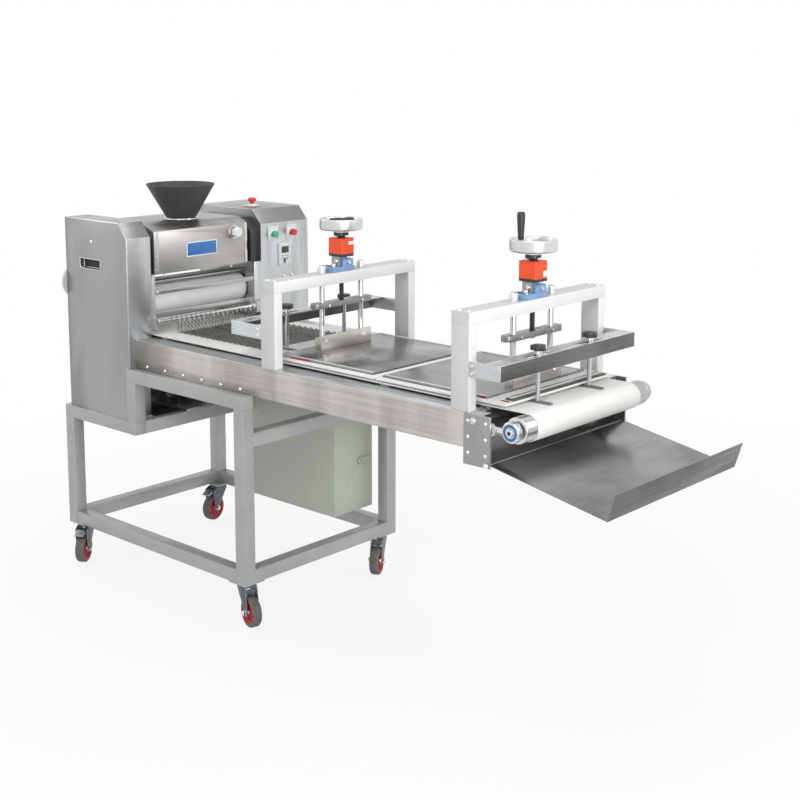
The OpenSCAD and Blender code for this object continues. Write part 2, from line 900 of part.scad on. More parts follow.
module emergency_stop() {
  z0 = housing_top + 9 + stop_travel + 1;
  color("red") placed() {
    rod_z(stop_x, stop_y, stop_stem_r, housing_top - sheet - 3, z0);
    translate([stop_x, stop_y, z0]) rotate_extrude() polygon([
      [0, 0], [11, 0], [15, 5], [15, 9], [12, 13], [0, 14]
    ]);
  }
}

// A push button that stands proud of its bezel.
module push_button(y) {
  x0 = housing_front + legend_t + 4 + button_travel;
  rod_x(y, button_z, button_stem_r, housing_front - sheet - 3, x0 + 6);
  rod_x(y, button_z, 11, x0 + 1, x0 + 9);
}

module start_button() {
  color("mediumseagreen") placed() push_button(button_y[0]);
}

module stop_button() {
  color("red") placed() push_button(button_y[1]);
}

module speed_knob() {
  color("black") placed() {
    rod_x(dial_y, dial_z, 3, housing_front + 3, housing_front + keypad_t + 2);
    rod_x(dial_y, dial_z, 7, housing_front + keypad_t + gap, housing_front + keypad_t + 9);
    box([housing_front + keypad_t + 8, dial_y - 1, dial_z],
      [housing_front + keypad_t + 10, dial_y + 1, dial_z + 7]);
  }
}

// Conveyor

// The C-shaped outline of a side beam, its web at the outer face.
module beam_outline() {
  difference() {
    translate([beam_y, beam_z0]) square([beam_flange, beam_h]);
    translate([beam_y + beam_t, beam_z0 + beam_t]) square([beam_flange, beam_h - 2 * beam_t]);
  }
}

// Copies a shape to the far side as a mirror image.
module both_sides() {
  children();
  translate([0, frame_w, 0]) mirror([0, 1, 0]) children();
}

module side_beams() {
  color("silver") placed() both_sides() slab_x(housing_front, beam_end) beam_outline();
}

module end_plates() {
  color("silver") placed() both_sides() difference() {
    box([end_plate_x, beam_y - end_plate_t, end_plate_z], [plate_end, beam_y, beam_top]);
    rod_y(tray_x, tray_z, tray_pin_r + fit, beam_y - end_plate_t - 1, beam_y + 1);
  }
}

// Slider bed with the crossbars that carry it
bed_t = 3;
bed_z = belt_top - belt_t - bed_t;
bed_bar = 30;
bed_bars = [380, 900, 1300, 1640];

module slider_bed() {
  color("gray") placed() {
    box([drive_roll_x + 60, belt_y0 + 3, bed_z],
      [end_roll_x - belt_roll_r - 12, belt_y0 + belt_w - 3, bed_z + bed_t]);
    for (x = bed_bars) {
      box([x, beam_y + beam_t, bed_z - bed_bar], [x + bed_bar, frame_w - beam_y - beam_t, beam_top - beam_t]);
      box([x, belt_y0 + 3, bed_z - bed_bar], [x + bed_bar, belt_y0 + belt_w - 3, bed_z]);
    }
    box([drive_roll_x + 75, near_in, bed_z - bed_bar], [drive_roll_x + 105, far_y, bed_z - 8]);
    box([drive_roll_x + 75, belt_y0 + 3, bed_z - bed_bar], [drive_roll_x + 105, belt_y0 + belt_w - 3, bed_z]);
  }
}

// A band that runs round the drive roller and the end roller.
module band(r, y0, y1) {
  rod_y(drive_roll_x, roll_axis_z, r, y0, y1, $fn = 96);
  rod_y(end_roll_x, roll_axis_z, r, y0, y1, $fn = 96);
  box([drive_roll_x, y0, roll_axis_z - r], [end_roll_x, y1, roll_axis_z + r]);
}

module belt() {
  color("white") placed() difference() {
    band(belt_roll_r + belt_t, belt_y0, belt_y0 + belt_w);
    band(belt_roll_r, belt_y0 - 1, belt_y0 + belt_w + 1);
  }
}

bearing_len = 18;
bearing_r = 26;
end_roll_y = beam_y + bearing_len + end_roll_gap;

module end_bearings() {
  color("steelblue") placed() both_sides() difference() {
    union() {
      rod_y(end_roll_x, roll_axis_z, bearing_r, beam_y, beam_y + bearing_len);
      box([beam_end, beam_y, roll_axis_z - 10], [end_roll_x, beam_y + 16, roll_axis_z + 10]);
    }
    rod_y(end_roll_x, roll_axis_z, belt_shaft_r + fit, beam_y - 1, beam_y + bearing_len + 1);
  }
}

module drive_roller() {
  color("lightgray") placed() {
    rod_y(drive_roll_x, roll_axis_z, belt_roll_r - gap, belt_y0, belt_y0 + belt_w, $fn = 96);
    rod_y(drive_roll_x, roll_axis_z, belt_shaft_r, near_in - sheet - 12, far_y + sheet + 12);
  }
}

module end_roller() {
  color("lightgray") placed() {
    rod_y(end_roll_x, roll_axis_z, belt_roll_r - gap, end_roll_y, frame_w - end_roll_y, $fn = 96);
    rod_y(end_roll_x, roll_axis_z, belt_shaft_r, beam_y - 4, frame_w - beam_y + 4);
  }
}

// Gantries
gantries = [gantry1_x, gantry2_x];
gantry_wall = 2.5;

module gantry_posts() {
  color("whitesmoke") placed() {
    for (x = gantries) {
      for (y = [post_y, far_post_y]) {
        difference() {
          box([x - gantry_w / 2, y, gantry_z0], [x + gantry_w / 2, y + post_t, gantry_beam_z]);
          box([x - gantry_w / 2 + gantry_wall, y + gantry_wall, gantry_z0 - 1],
            [x + gantry_w / 2 - gantry_wall, y + post_t - gantry_wall, gantry_beam_z + 1]);
        }
      }
    }
  }
}

// One top beam: a channel with sleeves for the rods and the screw, and its bushes.
module gantry_beam_at(x) {
  w = gantry_wall;
  difference() {
    union() {
      difference() {
        box([x - gantry_w / 2, post_y, gantry_beam_z], [x + gantry_w / 2, far_post_y + post_t, gantry_top]);
        box([x - gantry_w / 2 + w, post_y + w, gantry_beam_z - 1],
          [x + gantry_w / 2 - w, post_y + post_t - w, gantry_top - w]);
        box([x - gantry_w / 2 + w, far_post_y + w, gantry_beam_z - 1],
          [x + gantry_w / 2 - w, far_post_y + post_t - w, gantry_top - w]);
        box([x - gantry_w / 2 + w, post_y + w, gantry_beam_z + w],
          [x + gantry_w / 2 - w, far_post_y + post_t - w, gantry_top - w]);
      }
      for (y = [rod_y0, rod_y1]) rod_z(x, y, bush_r, gantry_beam_z, gantry_top + bush_h);
      rod_z(x, mid_y, screw_d / 2 + 4, gantry_beam_z, gantry_top);
    }
    for (y = [rod_y0, rod_y1]) rod_z(x, y, rod_d / 2 + fit, gantry_beam_z - 1, gantry_top + bush_h + 1);
    rod_z(x, mid_y, screw_d / 2 + fit, gantry_beam_z - 1, gantry_top + 1);
  }
}

module gantry_beams() {
  color("whitesmoke") placed() for (x = gantries) gantry_beam_at(x);
}

// Cast block that carries the screw, with a flange and a side bracket
flange_h = 14;
flange_near = 58;
flange_far = 30;
shoulder_h = 34;

module screw_castings() {
  color("lightsteelblue") placed() for (x = gantries) difference() {
    union() {
      box([x - 25, mid_y - flange_near, gantry_top], [x + 25, mid_y + flange_far, gantry_top + flange_h]);
      box([x - 22, mid_y - 14, gantry_top + flange_h],
        [x + 22, mid_y + flange_far - 2, gantry_top + shoulder_h]);
      rod_z(x, mid_y, 16, gantry_top + flange_h, casting_top);
    }
    rod_z(x, mid_y, screw_d / 2 + fit, gantry_top - 1, casting_top + 1);
  }
}

// Position indicator: a box on a dark base, with the screw passing through
indicator_w = 56;
indicator_d = 52;
indicator_r = 5;

// A box with round upright edges.
module round_box(x, y, w, d, z0, z1, r) {
  box([x - w / 2 + r, y - d / 2, z0], [x + w / 2 - r, y + d / 2, z1]);
  box([x - w / 2, y - d / 2 + r, z0], [x + w / 2, y + d / 2 - r, z1]);
  for (i = [-1, 1]) {
    for (j = [-1, 1]) rod_z(x + i * (w / 2 - r), y + j * (d / 2 - r), r, z0, z1);
  }
}

module indicators() {
  color("orangered") placed() for (x = gantries) difference() {
    union() {
      round_box(x, mid_y, indicator_w, indicator_d, casting_top, indicator_top, indicator_r);
      rod_z(x, mid_y, 12, indicator_top, indicator_top + 2);
    }
    rod_z(x, mid_y, screw_d / 2 + fit, casting_top - 1, indicator_top + 3);
  }
}

// Lift frames
shoe_h = 42;
shoe_x = 15;

// Two guide rods, the crosshead with its nut, and the shoe that holds the board.
module lift_frame(x) {
  z1 = crosshead_z + crosshead_h;
  difference() {
    union() {
      for (y = [rod_y0, rod_y1]) rod_z(x, y, rod_d / 2, board_top, rod_top);
      box([x - 17, rod_y0 - 22, crosshead_z], [x + 17, rod_y1 + 22, z1]);
      rod_z(x, rod_y0 - 22, 17, crosshead_z, z1);
      rod_z(x, rod_y1 + 22, 17, crosshead_z, z1);
      box([x + shoe_x, rod_y0 - 23, board_top], [x + shoe_x + 5, rod_y1 + 23, board_top + shoe_h]);
      for (y = [rod_y0, rod_y1]) {
        box([x - 14, y - 14, board_top], [x + shoe_x, y + 14, board_top + shoe_h - 8]);
      }
    }
    rod_z(x, mid_y, screw_d / 2 + fit, crosshead_z - 1, z1 + 1);
  }
}

module rear_lift_frame() {
  color("silver") placed() lift_frame(gantry1_x);
}

module front_lift_frame() {
  color("silver") placed() lift_frame(gantry2_x);
}

// Pressure boards: x0 and x1 of the white base, then of the steel face
board_y0 = belt_y0 - 4;
board1 = [880, 1286, 900, 1265];
board2 = [1290, 1722, 1300, 1650];
face_inset = 18;
corner_r = 30;
strip2 = [1692, 1720];

// A board: a base with round corners at its upstream end and a steel face.
module board(b, round_r) {
  y1 = frame_w - board_y0;
  box([b[0] + round_r, board_y0, board_z], [b[1], y1, face_z]);
  box([b[0], board_y0 + round_r, board_z], [b[0] + round_r, y1 - round_r, face_z]);
  for (y = [board_y0 + round_r, y1 - round_r]) rod_z(b[0] + round_r, y, round_r, board_z, face_z);
  box([b[2], board_y0 + face_inset, face_z], [b[3], y1 - face_inset, board_top]);
}

module rear_board() {
  color("white") placed() board(board1, corner_r);
}

module front_board() {
  color("white") placed() {
    board(board2, 4);
    box([strip2[0], board_y0 + 40, face_z], [strip2[1], frame_w - board_y0 - face_inset, board_top]);
  }
}

// Handwheels

// A handwheel with its screw; the grip's lug stands on the web.
module handwheel(x, grip_angle) {
  rim_r = handwheel_d / 2;
  difference() {
    union() {
      translate([x, mid_y, wheel_z0]) rotate_extrude($fn = 96) polygon([
        [0, 0], [rim_r - 4, 0], [rim_r, 4], [rim_r, rim_h - 2], [rim_r - 2, rim_h],
        [rim_r - 6, rim_h], [rim_r - 8, rim_h - 3], [rim_r - 9, web_t], [0, web_t]
      ]);
      rod_z(x, mid_y, 22, wheel_z0 - 8, wheel_z0 + 10);
      rod_z(x, mid_y, screw_d / 2, crosshead_z - 6, wheel_z0);
      rod_z(x, mid_y, 11, indicator_top + 2 + gap, wheel_z0);
      round_box(x, mid_y, 26, 40, indicator_top + 6, indicator_top + 15, 4);
      translate([x, mid_y, 0]) rotate([0, 0, grip_angle]) lug();
    }
    translate([x, mid_y, 0]) rotate([0, 0, grip_angle]) {
      rod_y(grip_r, grip_z, grip_pin_r + fit, -2 * lug_y, 2 * lug_y);
    }
  }
}

lug_half = 5.5;
lug_rise = 3.5;
lug_y = 10;

// Two ears on the web that hold the grip's pin.
module lug() {
  for (s = [-1, 1]) {
    box([grip_r - lug_half, s > 0 ? grip_tongue / 2 + gap : -lug_y, wheel_z0 + web_t - 0.5],
      [grip_r + lug_half, s > 0 ? lug_y : -grip_tongue / 2 - gap, grip_z + lug_rise]);
  }
}

// A crank grip standing upright on its pin.
module grip() {
  z0 = grip_z + 7;
  translate([grip_r, 0, 0]) {
    rod_y(0, grip_z, grip_pin_r, -lug_y, lug_y);
    box([-4, -grip_tongue / 2, grip_z - 5], [4, grip_tongue / 2, z0]);
    translate([0, 0, z0]) rotate_extrude() polygon([
      [0, 0], [7.5, 0], [8, 10], [10.5, grip_len - 12], [10.5, grip_len - 4], [8.5, grip_len], [0, grip_len]
    ]);
  }
}

grip1_angle = -138;
grip2_angle = -107;

module rear_handwheel() {
  color("silver") placed() handwheel(gantry1_x, grip1_angle);
}

module front_handwheel() {
  color("silver") placed() handwheel(gantry2_x, grip2_angle);
}

module rear_crank_grip() {
  color("black") placed() translate([gantry1_x, mid_y, 0]) rotate([0, 0, grip1_angle])
    translate([grip_r, 0, grip_z]) rotate([0, -90, 0]) translate([-grip_r, 0, -grip_z]) grip();
}

module front_crank_grip() {
  color("black") placed() translate([gantry2_x, mid_y, 0]) rotate([0, 0, grip2_angle]) grip();
}

// Side guide carriers

// A channel across the machine with two arms back to a gantry.
module carrier(x, top, arm0, arm1, pin_x, pins, flange_front) {
  depth = 39;
  t = carrier_t;
  y0 = post_y;
  y1 = frame_w - post_y;
  fx = flange_front ? x + carrier_w - t : x;
  difference() {
    union() {
      box([x, y0, top - t], [x + carrier_w, y1, top]);
      box([fx, y0, top - depth], [fx + t, y1, top]);
      for (y = [y0, y1 - t]) box([arm0, y, top - depth], [arm1, y + t, top]);
    }
    for (y = pins) {
      box([pin_x - slot_w / 2, y - guide_travel, top - t - 1],
        [pin_x + slot_w / 2, y + guide_travel, top + 1]);
      for (s = [-1, 1]) rod_z(pin_x, y + s * guide_travel, slot_w / 2, top - t - 1, top + 1);
    }
  }
}

module guide_carriers() {
  color("silver") placed() {
    carrier(carrier2_x, carrier2_top, gantry2_x + gantry_w / 2, carrier2_x + carrier_w,
      pin_x2, guides2, true);
    carrier(carrier1_x, carrier1_top, carrier1_x, gantry1_x - gantry_w / 2, pin_x1, guides1, false);
  }
}

// Side guides
foot_w = 12;
foot_h = 4.7;
foot_z = belt_top + 0.5;
rear_tail = foot_tail - 12;
guide_collar_r = guide_pin_d / 2 + 4;
lock_collar_h = 5;
star_lift = 12;
star_r = 15;
star_h = 13;
lobe_r = 6.5;
lobe_out = 14;

// A flat foot along the belt that reaches under the edge of its board.
module foot(x, y, s, tail) {
  toe = x + s * foot_reach;
  heel = x - s * tail;
  box([min(toe, heel), y - foot_w / 2, foot_z], [max(toe, heel), y + foot_w / 2, foot_z + foot_h]);
}

// A side guide: star knob, pin, collar under the carrier and foot over the belt.
module side_guide(x, y, top, s, tail) {
  under = top - carrier_t - gap;
  rod_z(x, y, guide_pin_d / 2, foot_z, top + star_lift);
  rod_z(x, y, guide_collar_r, top + gap, top + star_lift);
  for (i = [0:4]) translate([x, y, top + star_lift]) rotate([0, 0, 72 * i])
    translate([lobe_out, 0, 0]) cylinder(r = lobe_r, h = star_h - 1);
  rod_z(x, y, star_r, top + star_lift, top + star_lift + star_h);
  rod_z(x, y, guide_collar_r, under - lock_collar_h, under);
  foot(x, y, s, tail);
}

module rear_near_guide() {
  color("darkslategray") placed() side_guide(pin_x1, guides1[0], carrier1_top, 1, rear_tail);
}

module rear_far_guide() {
  color("darkslategray") placed() side_guide(pin_x1, guides1[1], carrier1_top, 1, rear_tail);
}

module front_near_guide() {
  color("darkslategray") placed() side_guide(pin_x2, guides2[0], carrier2_top, -1, foot_tail);
}

module front_far_guide() {
  color("darkslategray") placed() side_guide(pin_x2, guides2[1], carrier2_top, -1, foot_tail);
}

// Cabinet
cab_wall = 2;
latch_y = cab_y1 - 35;
latch_z = cab_z0 + 161;
hinge_x = cab_x0;
hinge_y = cab_y1 + 6;
knuckle_h = 30;
hanger_w = 30;
hanger_in = 60;
knuckle_z = [cab_z0 + 60, cab_top - 120];

module cabinet() {
  color("darkseagreen") placed() {
    difference() {
      box([cab_x0, cab_y0, cab_z0], [cab_x1, cab_y1, cab_top]);
      box([cab_x0 + cab_wall, cab_y0 + cab_wall, cab_z0 + cab_wall],
        [cab_x1 - cab_wall, cab_y1 + 1, cab_top - cab_wall]);
      rod_x(latch_y, latch_z, 4 + fit, cab_x1 - cab_wall - 1, cab_x1 + 1);
    }
    for (x = [cab_x0 + hanger_in, cab_x1 - hanger_in - hanger_w]) {
      box([x, cab_y1 - hanger_w, cab_top], [x + hanger_w, frame_w - 12, deck_rail_z]);
    }
    for (z = knuckle_z) {
      rod_z(hinge_x, hinge_y, hinge_r, z, z + knuckle_h);
      box([hinge_x - 3, cab_y1 - 14, z], [cab_x0, hinge_y, z + knuckle_h]);
    }
  }
}

module cabinet_door() {
  z1 = cab_top - 4;
  y0 = cab_y1 + gap;
  color("darkseagreen") placed() {
    difference() {
      box([cab_x0 + 6, y0, cab_z0], [cab_x1, y0 + door_t, z1]);
      box([cab_x0 + 8, y0 - 1, cab_z0 + 2], [cab_x1 - 2, y0 + door_t - 2, z1 - 2]);
    }
    for (z = knuckle_z) {
      rod_z(hinge_x, hinge_y, hinge_r, z + knuckle_h + gap, z + 2 * knuckle_h);
      box([hinge_x, hinge_y - 4, z + knuckle_h + gap], [cab_x0 + 7, hinge_y + 4, z + 2 * knuckle_h]);
    }
  }
}

module door_latch() {
  color("silver") placed() {
    rod_x(latch_y, latch_z, 4, cab_x1 - cab_wall - 4, cab_x1 + 6);
    box([cab_x1 + gap, latch_y - 8, latch_z - 8], [cab_x1 + 4, cab_y1 + 14, latch_z + 8]);
    rod_x(latch_y, latch_z, 12, cab_x1 + gap, cab_x1 + 6);
  }
}

// Gear motor under the head, on a plate across the frame, and the rear air cap
motor_r = 62;
motor_len = 250;
motor_x = step_x / 2;
motor_y = mid_y - 170;
motor_z = seat_z + 6 + motor_r + 12;
bedplate_y = [mid_y - 120, mid_y + 100];
cap_y = near_y + 40;
cap_z = roll_z + 46;

module drive_motor() {
  color("dimgray") placed() {
    box([0, bedplate_y[0], seat_z], [step_x, bedplate_y[1], seat_z + 6]);
    rod_y(motor_x, motor_z, motor_r, motor_y, motor_y + motor_len);
    box([motor_x - 70, motor_y + 20, seat_z + 6], [motor_x + 70, motor_y + motor_len - 20, motor_z - 20]);
    rod_x(cap_y, cap_z, cap_r, housing_rear - 12, housing_rear);
    rod_x(cap_y, cap_z, cap_r - 12, housing_rear - cap_len, housing_rear - 12);
  }
}

// The tray's bent sheet seen from the side: a pan and a lip that leans outwards.
module tray_outline() {
  lip_x = tray_lip * sin(lip_lean);
  lip_z = tray_lip * cos(lip_lean) - tray_t;
  polygon([
    [0, -tray_t],
    [tray_len, -tray_t],
    [tray_len + lip_x, lip_z],
    [tray_len + lip_x - tray_t * cos(lip_lean), lip_z + tray_t * sin(lip_lean)],
    [tray_len - tray_t * cos(lip_lean) + tray_t * (1 - sin(lip_lean)) * tan(lip_lean), 0],
    [0, 0]
  ]);
}

// A tray that hangs on two pins in the end plates.
module tray() {
  color("silver") placed() {
    translate([tray_x, 0, tray_z]) rotate([0, tray_slope, 0]) slab_y(tray_y0, tray_y1) tray_outline();
    rod_y(tray_x, tray_z, tray_pin_r, beam_y - end_plate_t - 3, frame_w - beam_y + end_plate_t + 3);
  }
}

// Fasteners
head_r = 5;
head_h = 3;
beam_bolt_pitch = 85;
plate_bolt_pitch = 40;

// A row of bolt heads on a face that looks along -Y, mirrored to the far side.
module bolt_row(xs, z, y) {
  both_sides() for (x = xs) rod_y(x, z, head_r, y - head_h, y, $fn = 24);
}

module fasteners() {
  color("silver") placed() {
    bolt_row([for (i = [0:5]) step_x + 30 + i * beam_bolt_pitch], beam_z0 + 12, beam_y);
    for (i = [0:2]) {
      z = end_plate_z + 30 + plate_bolt_pitch * i;
      bolt_row([end_plate_x + 14, plate_end - 14], z, beam_y - end_plate_t);
    }
    for (x = gantries) {
      for (y = [post_y + 15, frame_w - post_y - 15]) {
        for (s = [-1, 1]) rod_z(x + s * 14, y, head_r, gantry_top, gantry_top + head_h, $fn = 24);
      }
    }
    for (y = nut_y) rod_x(y, nut_z, 7, housing_front, housing_front + 9);
    both_sides() rod_y(plate_end - 51, roll_axis_z + 13, 9, beam_y - end_plate_t - 8, beam_y - end_plate_t);
    rod_y(housing_rear + 138, housing_top - 68, 7, near_y - cover_t - 2, near_y - cover_t);
  }
}

frame_legs();
frame_rails();
frame_crossbars();
rear_near_fork();
rear_far_fork();
front_near_fork();
front_far_fork();
rear_near_wheel();
rear_far_wheel();
front_near_wheel();
front_far_wheel();
near_brake_pedal();
far_brake_pedal();
near_housing();
far_housing();
housing_covers();
head_side_plates();
head_crossbars();
chain_mesh();
front_sheeting_roller();
rear_sheeting_roller();
hood();
hopper();
hood_plate();
hood_knob();
control_panel();
emergency_stop();
start_button();
stop_button();
speed_knob();
side_beams();
end_plates();
slider_bed();
belt();
end_bearings();
drive_roller();
end_roller();
gantry_posts();
gantry_beams();
screw_castings();
indicators();
rear_lift_frame();
front_lift_frame();
rear_board();
front_board();
rear_handwheel();
front_handwheel();
rear_crank_grip();
front_crank_grip();
guide_carriers();
rear_near_guide();
rear_far_guide();
front_near_guide();
front_far_guide();
cabinet();
cabinet_door();
door_latch();
drive_motor();
tray();
fasteners();
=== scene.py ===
"""Dresses the dough moulder: finishes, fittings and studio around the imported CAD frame.

Lengths are written in millimetres in the machine's own axes (x from the frame's rear face,
y from its near face, z from the floor) and turned into the frame's metres by `Axes`.
"""

from __future__ import annotations

import json
import logging
import math
from collections.abc import Callable, Iterable, Sequence
from dataclasses import dataclass
from enum import Enum

import bmesh
import bpy
from mathutils import Matrix, Vector

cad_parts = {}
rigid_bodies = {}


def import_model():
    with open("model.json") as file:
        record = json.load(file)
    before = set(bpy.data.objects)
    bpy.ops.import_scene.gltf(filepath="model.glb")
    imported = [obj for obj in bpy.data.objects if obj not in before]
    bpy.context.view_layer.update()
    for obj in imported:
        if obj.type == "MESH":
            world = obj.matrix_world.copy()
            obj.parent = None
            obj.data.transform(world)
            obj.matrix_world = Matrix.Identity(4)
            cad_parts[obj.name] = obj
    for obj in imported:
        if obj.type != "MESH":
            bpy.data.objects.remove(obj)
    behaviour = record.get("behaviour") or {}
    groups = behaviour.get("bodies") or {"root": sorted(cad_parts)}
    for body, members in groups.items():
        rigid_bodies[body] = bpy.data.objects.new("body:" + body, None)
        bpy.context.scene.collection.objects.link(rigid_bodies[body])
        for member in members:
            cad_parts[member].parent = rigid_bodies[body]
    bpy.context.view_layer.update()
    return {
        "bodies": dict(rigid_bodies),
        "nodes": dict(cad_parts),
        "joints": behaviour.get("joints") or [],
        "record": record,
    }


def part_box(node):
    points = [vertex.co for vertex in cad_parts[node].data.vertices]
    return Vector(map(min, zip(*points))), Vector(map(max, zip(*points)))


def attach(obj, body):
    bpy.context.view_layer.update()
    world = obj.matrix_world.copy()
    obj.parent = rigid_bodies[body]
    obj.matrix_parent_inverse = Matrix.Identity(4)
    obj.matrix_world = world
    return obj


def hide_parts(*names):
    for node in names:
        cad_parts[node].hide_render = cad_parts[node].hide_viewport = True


LOG = logging.getLogger("dough_moulder")
MM = 0.001
# What a rule gives for a face that goes.
DELETE = -1
# Share of an axis in the normal above which a face looks along it.
ALIGNED = 0.9
# Angle in degrees above which an edge stays sharp.
SHARP_ANGLE = 35.0
X_AXIS = (1, 0, 0)
Y_AXIS = (0, 1, 0)
Z_AXIS = (0, 0, 1)

Pair = tuple[float, float]
Point = tuple[float, float, float]
Rect = tuple[float, float, float, float]
Colour = tuple[float, float, float]
Rule = Callable[[Vector, Vector], int]
Cut = tuple[Point, Point]
Socket = bpy.types.NodeSocket


class Side(Enum):
    """The two sides of the machine, as the sign of their distance from its middle."""

    NEAR = -1
    FAR = 1


class Grain(Enum):
    """The way in which the brushing of a sheet runs."""

    ALONG_X = (3.0, 260.0, 260.0)
    ALONG_Y = (260.0, 3.0, 260.0)
    ALONG_Z = (260.0, 260.0, 3.0)


class Way(Enum):
    """The directions that bolts and buttons look in."""

    FRONT = (1.0, 0.0, 0.0)
    NEAR = (0.0, -1.0, 0.0)
    FAR = (0.0, 1.0, 0.0)
    UP = (0.0, 0.0, 1.0)


@dataclass
class Axes:
    """Turns the machine's millimetres into the frame's metres."""

    corner: Vector

    @classmethod
    def from_frame(cls) -> Axes:
        """Reads the machine's corner from the legs, which start at x = 0 and y = 0."""
        low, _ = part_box("frame_legs")
        return cls(Vector((low.x, low.y, 0.0)))

    def at(self, x: float, y: float, z: float) -> Vector:
        """Gives a point of the machine in metres."""
        return Vector((x * MM, y * MM, z * MM)) + self.corner

    def back(self, point: Vector) -> Vector:
        """Gives a frame point in the machine's millimetres."""
        return (point - self.corner) / MM


def put(name: str, data: bpy.types.ID) -> bpy.types.Object:
    """Puts a new object in the scene.

    Args:
        name: Its name.
        data: Its mesh, lamp or camera.

    Returns:
        The new object.
    """
    obj = bpy.data.objects.new(name, data)
    bpy.context.scene.collection.objects.link(obj)
    return obj


class Layout:
    """A short way to lay out the nodes of a tree."""

    def __init__(self, tree: bpy.types.NodeTree) -> None:
        """Takes the tree."""
        self.tree = tree

    def add(self, kind: str, inputs: dict[str | int, object] | None = None,
            **settings: str) -> bpy.types.Node:
        """Adds a node.

        Args:
            kind: The node's type.
            inputs: Sockets or values by the input's name or number.
            settings: The node's own properties.

        Returns:
            The node.
        """
        node = self.tree.nodes.new(kind)
        for key, value in settings.items():
            setattr(node, key, value)
        self.feed(node, inputs or {})
        return node

    def feed(self, node: bpy.types.Node, inputs: dict[str | int, object]) -> None:
        """Gives a node's inputs what drives them.

        Args:
            node: The node.
            inputs: Sockets or values by the input's name or number.
        """
        for key, value in inputs.items():
            if isinstance(value, Socket):
                self.tree.links.new(value, node.inputs[key])
            else:
                node.inputs[key].default_value = value

    def seen(self) -> Socket:
        """Gives a factor of 1 for camera, glossy and transmission rays.

        Returns:
            The factor.
        """
        rays = self.add("ShaderNodeLightPath").outputs
        seen = rays["Is Camera Ray"]
        for kind in ("Is Glossy Ray", "Is Transmission Ray"):
            either = self.add("ShaderNodeMath", {0: seen, 1: rays[kind]}, operation="MAXIMUM")
            seen = either.outputs[0]
        return seen


class MaterialTree(Layout):
    """The nodes of one material round a Principled shader."""

    def __init__(self, name: str) -> None:
        """Starts the material.

        Args:
            name: The material's name.
        """
        self.material = bpy.data.materials.new(name)
        self.material.use_nodes = True
        super().__init__(self.material.node_tree)
        self.tree.nodes.clear()
        self.shader = self.add("ShaderNodeBsdfPrincipled")
        self.out = self.add("ShaderNodeOutputMaterial", {"Surface": self.shader.outputs["BSDF"]})
        self.coords = self.add("ShaderNodeTexCoord").outputs["Object"]

    def noise(self, scale: float, detail: float = 3.0, stretch: Point | None = None) -> Socket:
        """Adds a noise texture in object space.

        Args:
            scale: Noise scale per metre.
            detail: Octaves of detail.
            stretch: Scale of each axis before the noise, for grain.

        Returns:
            The noise's factor.
        """
        spot = self.coords
        if stretch is not None:
            mapping = self.add("ShaderNodeMapping", {"Vector": spot, "Scale": stretch})
            spot = mapping.outputs["Vector"]
        noise = self.add("ShaderNodeTexNoise", {"Vector": spot, "Scale": scale, "Detail": detail})
        return noise.outputs["Fac"]

    def remap(self, source: Socket, low: float, high: float, start: float = 0.3,
              end: float = 0.7) -> Socket:
        """Maps a factor from start..end onto low..high."""
        sizes = {"From Min": start, "From Max": end, "To Min": low, "To Max": high}
        return self.add("ShaderNodeMapRange", {"Value": source, **sizes}).outputs["Result"]

    def math(self, operation: str, a: Socket, b: Socket | float) -> Socket:
        """Combines two factors, or a factor and a number."""
        return self.add("ShaderNodeMath", {0: a, 1: b}, operation=operation).outputs[0]

    def mix(self, factor: Socket, a: Colour, b: Colour) -> Socket:
        """Mixes two colours by a factor."""
        inputs = {"A": (*a, 1.0), "B": (*b, 1.0), "Factor": factor}
        return self.add("ShaderNodeMix", inputs, data_type="RGBA").outputs["Result"]

    def bump(self, height: Socket, distance: float, strength: float) -> Socket:
        """Makes a normal from a height."""
        inputs = {"Distance": distance, "Strength": strength, "Height": height}
        return self.add("ShaderNodeBump", inputs).outputs["Normal"]


@dataclass(frozen=True)
class Finish:
    """A surface finish: a colour with mottling, a roughness range and a fine bump."""

    name: str
    slot: str
    colour: Colour
    shade: Colour
    rough_low: float = 0.35
    rough_high: float = 0.5
    metallic: float = 0.0
    mottle: float = 9.0
    grain_scale: float = 900.0
    bump: float = 0.00004
    strength: float = 0.35
    coat: float = 0.0

    def build(self) -> bpy.types.Material:
        """Makes the material.

        Returns:
            A procedural material on object coordinates.
        """
        tree = MaterialTree(self.name)
        clouds = tree.noise(self.mottle, 4.0)
        smears = tree.noise(self.mottle * 3.1, 5.0)
        tree.feed(tree.shader, {
            "Base Color": tree.mix(tree.remap(clouds, 0.0, 1.0), self.colour, self.shade),
            "Roughness": tree.remap(smears, self.rough_low, self.rough_high),
            "Normal": tree.bump(tree.noise(self.grain_scale, 2.0), self.bump, self.strength),
            "Metallic": self.metallic, "Coat Weight": self.coat, "Coat Roughness": 0.1})
        return tree.material


